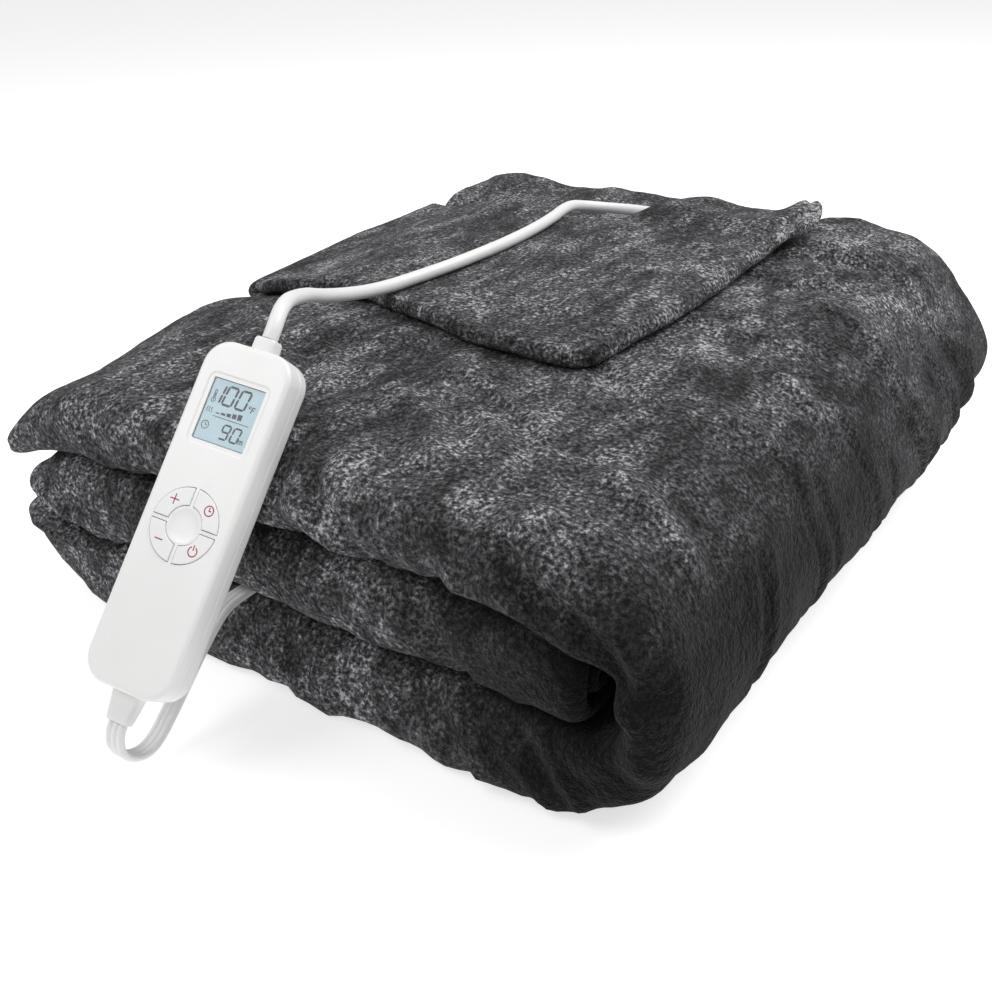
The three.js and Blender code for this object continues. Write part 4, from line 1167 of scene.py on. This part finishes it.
def settle(points, top, look):  # how the whole roll lies; top is 1 on the top band and on the turned corner
    x, y, z = points.T.copy()
    newX, newZ = drooped(x, y, waved(x, y, z, look), top, droop)
    newX, newZ = sagged(newX, y, newZ, x, turnSag)
    bulge = look["bulgeOut"] * ripple(x, 0 * y, z, *look["bulge"]) * smooth((-140 - y) / 70)
    tucked = look["bottomIn"] * np.clip(1 - z / look["bottomHeight"], 0, 1)  # the front's foot turns in
    newY = y + bulge - tucked * smooth((-194 - y) / 14) * smooth((x + 175) / 60)
    return pressIn(np.column_stack([newX, newY, np.maximum(newZ, look["lowest"])]), dent)


def settleGrid(grid, top):
    return settle(grid.reshape(-1, 3), top.ravel(), lie).reshape(grid.shape)


def closedSheet(outer, inner, edgeMask):  # two grids of points that share their border
    rows, columns = edgeMask.shape
    outerIndex = np.arange(rows * columns).reshape(rows, columns)
    innerIndex = outerIndex.copy()
    inside = ~edgeMask
    innerIndex[inside] = rows * columns + np.arange(inside.sum())
    verts = np.vstack([outer.reshape(-1, 3), inner[inside]])

    def quads(index):
        return np.stack([index[:-1, :-1], index[1:, :-1], index[1:, 1:], index[:-1, 1:]], -1).reshape(-1, 4)

    faces = np.vstack([quads(outerIndex), quads(innerIndex)[:, ::-1]])
    a, b, c, d = (verts[faces[:, k]] for k in range(4))
    volume = (np.cross(b, c) * a).sum() + (np.cross(c, d) * a).sum()
    return verts, faces if volume > 0 else faces[:, ::-1]


def borderMask(rows, columns):
    mask = np.zeros((rows, columns), bool)
    mask[0] = mask[-1] = True
    mask[:, 0] = mask[:, -1] = True
    return mask


def rolledCloth():
    s = stripSteps()
    line, topEnd, foldEnd = foldLine()
    tangent = unit(np.gradient(line, axis=0))
    normal = np.column_stack([tangent[:, 1], -tangent[:, 0]])
    run = runLengths(line)
    distance = np.minimum(
        np.minimum(s - s[0], legs[-1] - s)[:, None], np.minimum(run, run[-1] - run)[None, :],
    )
    rim = rimShare(distance)
    x, z, outX, outZ = (value[:, None] for value in rollPlace(s))

    turning = ((s > legs[3]) & (s < legs[4]))[:, None]
    beyond = np.clip(-s[:, None] / throw["nose"], 0, 1)
    eye = 1 / np.sqrt((outX / throw["eyeReach"]) ** 2 + (outZ / (rightRadius - halfBand)) ** 2)
    squeeze = np.where(turning, (rightRadius + halfBand - eye) / throw["band"], 1)

    def grid(offset):
        out = line[:, 1] + offset * normal[:, 1]
        y = line[:, 0] + offset * normal[:, 0]
        out = halfBand - (halfBand - out) * squeeze
        noseX = x - beyond ** 2 * np.where(out > 0, 6, -1) * np.abs(out / halfBand) ** 3
        noseY = y + 3 * beyond ** 3 * smooth((-195 - y) / 30)
        noseZ = z + out * outZ * (1 - 0.2 * beyond ** 2) - 3.5 * beyond
        noseZ = noseZ - 6 * turning * outX ** 2 * (halfBand - out) / throw["band"]
        return np.stack([noseX + out * outX, noseY + 0 * x, noseZ], -1)

    plain = grid(halfLayer * rim)
    outerSide = np.zeros(len(line), bool)
    outerSide[:foldEnd] = True
    shown = np.broadcast_to(outerSide, rim.shape)
    height = np.zeros(rim.shape)
    sGrid = np.broadcast_to(s[:, None], rim.shape)
    height[shown] = wrinkles(*plain[shown].T, sGrid[shown], cloth)
    outer = grid((halfLayer + np.maximum(height, -halfLayer)) * rim)
    inner = grid(-halfLayer * rim)
    pull = 7 * smooth((x + 120) / -60) * window(line[:, 0], -58, 158, 14)
    layerOne = np.zeros(len(line), bool)
    layerOne[:topEnd] = True
    pull = pull * layerOne * (sGrid > legs[4])
    outer[..., 0] += pull
    inner[..., 0] += pull
    top = (sGrid > legs[4]).astype(float)
    return closedSheet(settleGrid(outer, top), settleGrid(inner, top), borderMask(*rim.shape))


def evenPoints(points, count):
    line, _ = smoothPath([(*p, 0) for p in points], 0.5)
    return resample(line[:, :2], np.arange(len(line)), np.linspace(0, len(line) - 1, count))


def flapPlan(look):  # a patch between the flap's four edges
    across = int(look["across"] / look["step"])
    along = int(look["along"] / look["step"])

    def spread(count, ends):  # closer together at the hems
        rim = rimSteps / 250
        start = rim if ends[0] else [0]
        finish = 1 - rim[::-1] if ends[1] else [1]
        return np.concatenate([start, np.linspace(start[-1], finish[0], count)[1:-1], finish])

    u, v = spread(across, (False, True)), spread(along, (True, True))
    count = look["curvePoints"]
    front, back, right = (evenPoints(look[side], count) for side in ("front", "back", "right"))
    left = np.column_stack([np.full(count, front[0, 0]), np.linspace(front[0, 1], back[0, 1], count)])

    def at(curve, t):
        return resample(curve, np.linspace(0, 1, count), t)

    f, b, l, r = at(front, u), at(back, u), at(left, v), at(right, v)
    uu, vv = u[:, None, None], v[None, :, None]
    plan = (1 - vv) * f[:, None] + vv * b[:, None] + (1 - uu) * l[None] + uu * r[None]
    plan -= (1 - uu) * (1 - vv) * f[0] + uu * (1 - vv) * f[-1] + (1 - uu) * vv * b[0] + uu * vv * b[-1]
    return plan


def flapHeight(x, y, look):
    humpX = smooth((x + 30) / 34) * (1 - smooth((x - 78) / 20))
    humpY = smooth((y - 108) / 34) * (1 - smooth((y - 172) / 22))
    hump = humpX * humpY
    leadX = np.interp(y, look["leadY"], look["leadX"])
    free = smooth((np.abs(x - leadX) - look["leadHalf"]) / 16) * smooth((x + 188) / 40)
    waves = flatRipple(x, y, *look["broad"]) + flatRipple(x, y, *look["fine"])
    (knotX, knotY), (sizeX, sizeY) = look["knotPlace"], look["knotSize"]
    knot = look["knot"] * bell(x, knotX, sizeX) * bell(y, knotY, sizeY)
    return look["level"] + knot + look["hump"] * hump + free * (0.9 + waves) * (1 - 0.6 * hump), hump


def turnedCorner(look):
    plan = flapPlan(look)
    shape = plan.shape[:2]
    x, y = plan[..., 0], plan[..., 1]
    z, hump = (value.reshape(shape) for value in flapHeight(x.ravel(), y.ravel(), look))
    middle = np.stack([x, y, z], -1)
    startY = middle[0, :, 1]
    radius = look["turnRadius"]
    turnZ = look["level"] - radius
    rows = [(look["tuckX"] - offset * 1.2, turnZ - radius) for offset in rimSteps]
    for angle in np.linspace(-math.pi / 2, math.pi / 2, 11)[:-1]:
        rows.append((leftEdge - radius * math.cos(angle), turnZ + radius * math.sin(angle)))
    tucked = np.array([[(px, py, pz) for py in startY] for px, pz in rows])
    middle = np.concatenate([tucked, middle])
    stretched = 1 - look["humpThinner"] * np.concatenate([0 * tucked[..., 0], hump])  # thinner over the connector
    du, dv = np.gradient(middle, axis=0), np.gradient(middle, axis=1)
    normal = unit(np.cross(du, dv))
    if normal[-1, shape[1] // 2, 2] < 0:
        normal = -normal
    runU = np.cumsum(np.linalg.norm(np.diff(middle, axis=0, prepend=middle[:1]), axis=-1), axis=0)
    runV = np.cumsum(np.linalg.norm(np.diff(middle, axis=1, prepend=middle[:, :1]), axis=-1), axis=1)
    toRight = runU[-1:] - runU
    toSide = np.minimum(runV, runV[:, -1:] - runV)
    rim = rimShare(np.minimum(np.minimum(runU, toRight), toSide))
    groove = bell(toRight, look["stitchInside"], look["stitchWidth"])
    puff = smooth(1 - np.abs(toRight - look["puffInside"]) / look["puffWidth"])
    flatPoints = middle.reshape(-1, 3).T
    grain = (0.5 * ripple(*flatPoints, 14, 4.4) + 0.3 * ripple(*flatPoints, 6.5, 7.7)).reshape(rim.shape)
    upper = halfLayer + 0.2 + grain * 0.8 - look["stitchDepth"] * groove + look["puff"] * puff
    outer = middle + normal * (upper * rim * stretched)[..., None]
    inner = middle - normal * (halfLayer * rim * stretched)[..., None]
    top = np.ones(rim.shape)
    return closedSheet(settleGrid(outer, top), settleGrid(inner, top), borderMask(*rim.shape))


def makeThrow():
    verts, faces = rolledCloth()
    flapVerts, flapFaces = turnedCorner(flap)
    allVerts = np.vstack([verts, flapVerts])
    allFaces = np.vstack([faces, flapFaces + len(verts)])
    mesh = makeMesh("throw_cloth", allVerts * 0.001, allFaces)
    mesh.materials.append(plush)
    mesh.shade_smooth()
    piece = addObject("throw_cloth", mesh)
    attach(piece, "root")
    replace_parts(piece, "face_fabric", "backing_fabric")
    print("throw made:", len(allVerts), "points")


def makeHeatingWire():  # the CAD wire, lying as the cloth around it lies
    source = nodes["heating_wire"].data
    points = 1000 * np.array([tuple(v.co) for v in source.vertices])
    points = settle(points, (points[:, 2] > middleTop + 0.2).astype(float), lie)
    faces = [tuple(face.vertices) for face in source.polygons]
    wire = addPiece("heating_wire_run", points, faces, wireCoat, "wire_coat", crease=40)
    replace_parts(wire, "heating_wire")


# Studio
studio = {
    "floor": 12.0, "floorTone": 0.6, "floorGlow": 0.66, "world": 0.31,
    "lamps": {  # power, size and place
        "key": (15.5, 1.1, (-0.9, -1.0, 1.5)), "fill": (1.5, 1.4, (0.2, -1.8, 0.7)),
        "rim": (27, 1.2, (0.75, 0.7, 1.45)),
    },
    "aim": (0, -0.02, 0.06),
}


def makeStudio(look):
    size, tone = look["floor"], look["floorTone"]
    mesh = makeMesh("floor", [(-size, -size, 0), (size, -size, 0), (size, size, 0), (-size, size, 0)], [(0, 1, 2, 3)])
    floor = addObject("floor", mesh)
    surface, _, shader = startFinish("floor_paper", (tone, tone, tone), 0.9)
    shader.inputs["Emission Color"].default_value = (1, 1, 1, 1)
    shader.inputs["Emission Strength"].default_value = look["floorGlow"]
    mesh.materials.append(surface)
    world = bpy.data.worlds.new("studio")
    world.use_nodes = True
    background = world.node_tree.nodes["Background"]
    background.inputs["Color"].default_value = (1, 1, 1, 1)
    background.inputs["Strength"].default_value = look["world"]
    scene.world = world
    for name, (power, size, place) in look["lamps"].items():
        light = bpy.data.lights.new(name, "AREA")
        light.energy = power
        light.size = size
        lamp = addObject(name, light)
        lamp.location = place
        lamp.rotation_euler = (Vector(look["aim"]) - Vector(place)).to_track_quat("-Z", "Y").to_euler()
    scene.view_settings.view_transform = "Standard"


makeThrow()
makeHeatingWire()
makeStudio(studio)
print("studio made")
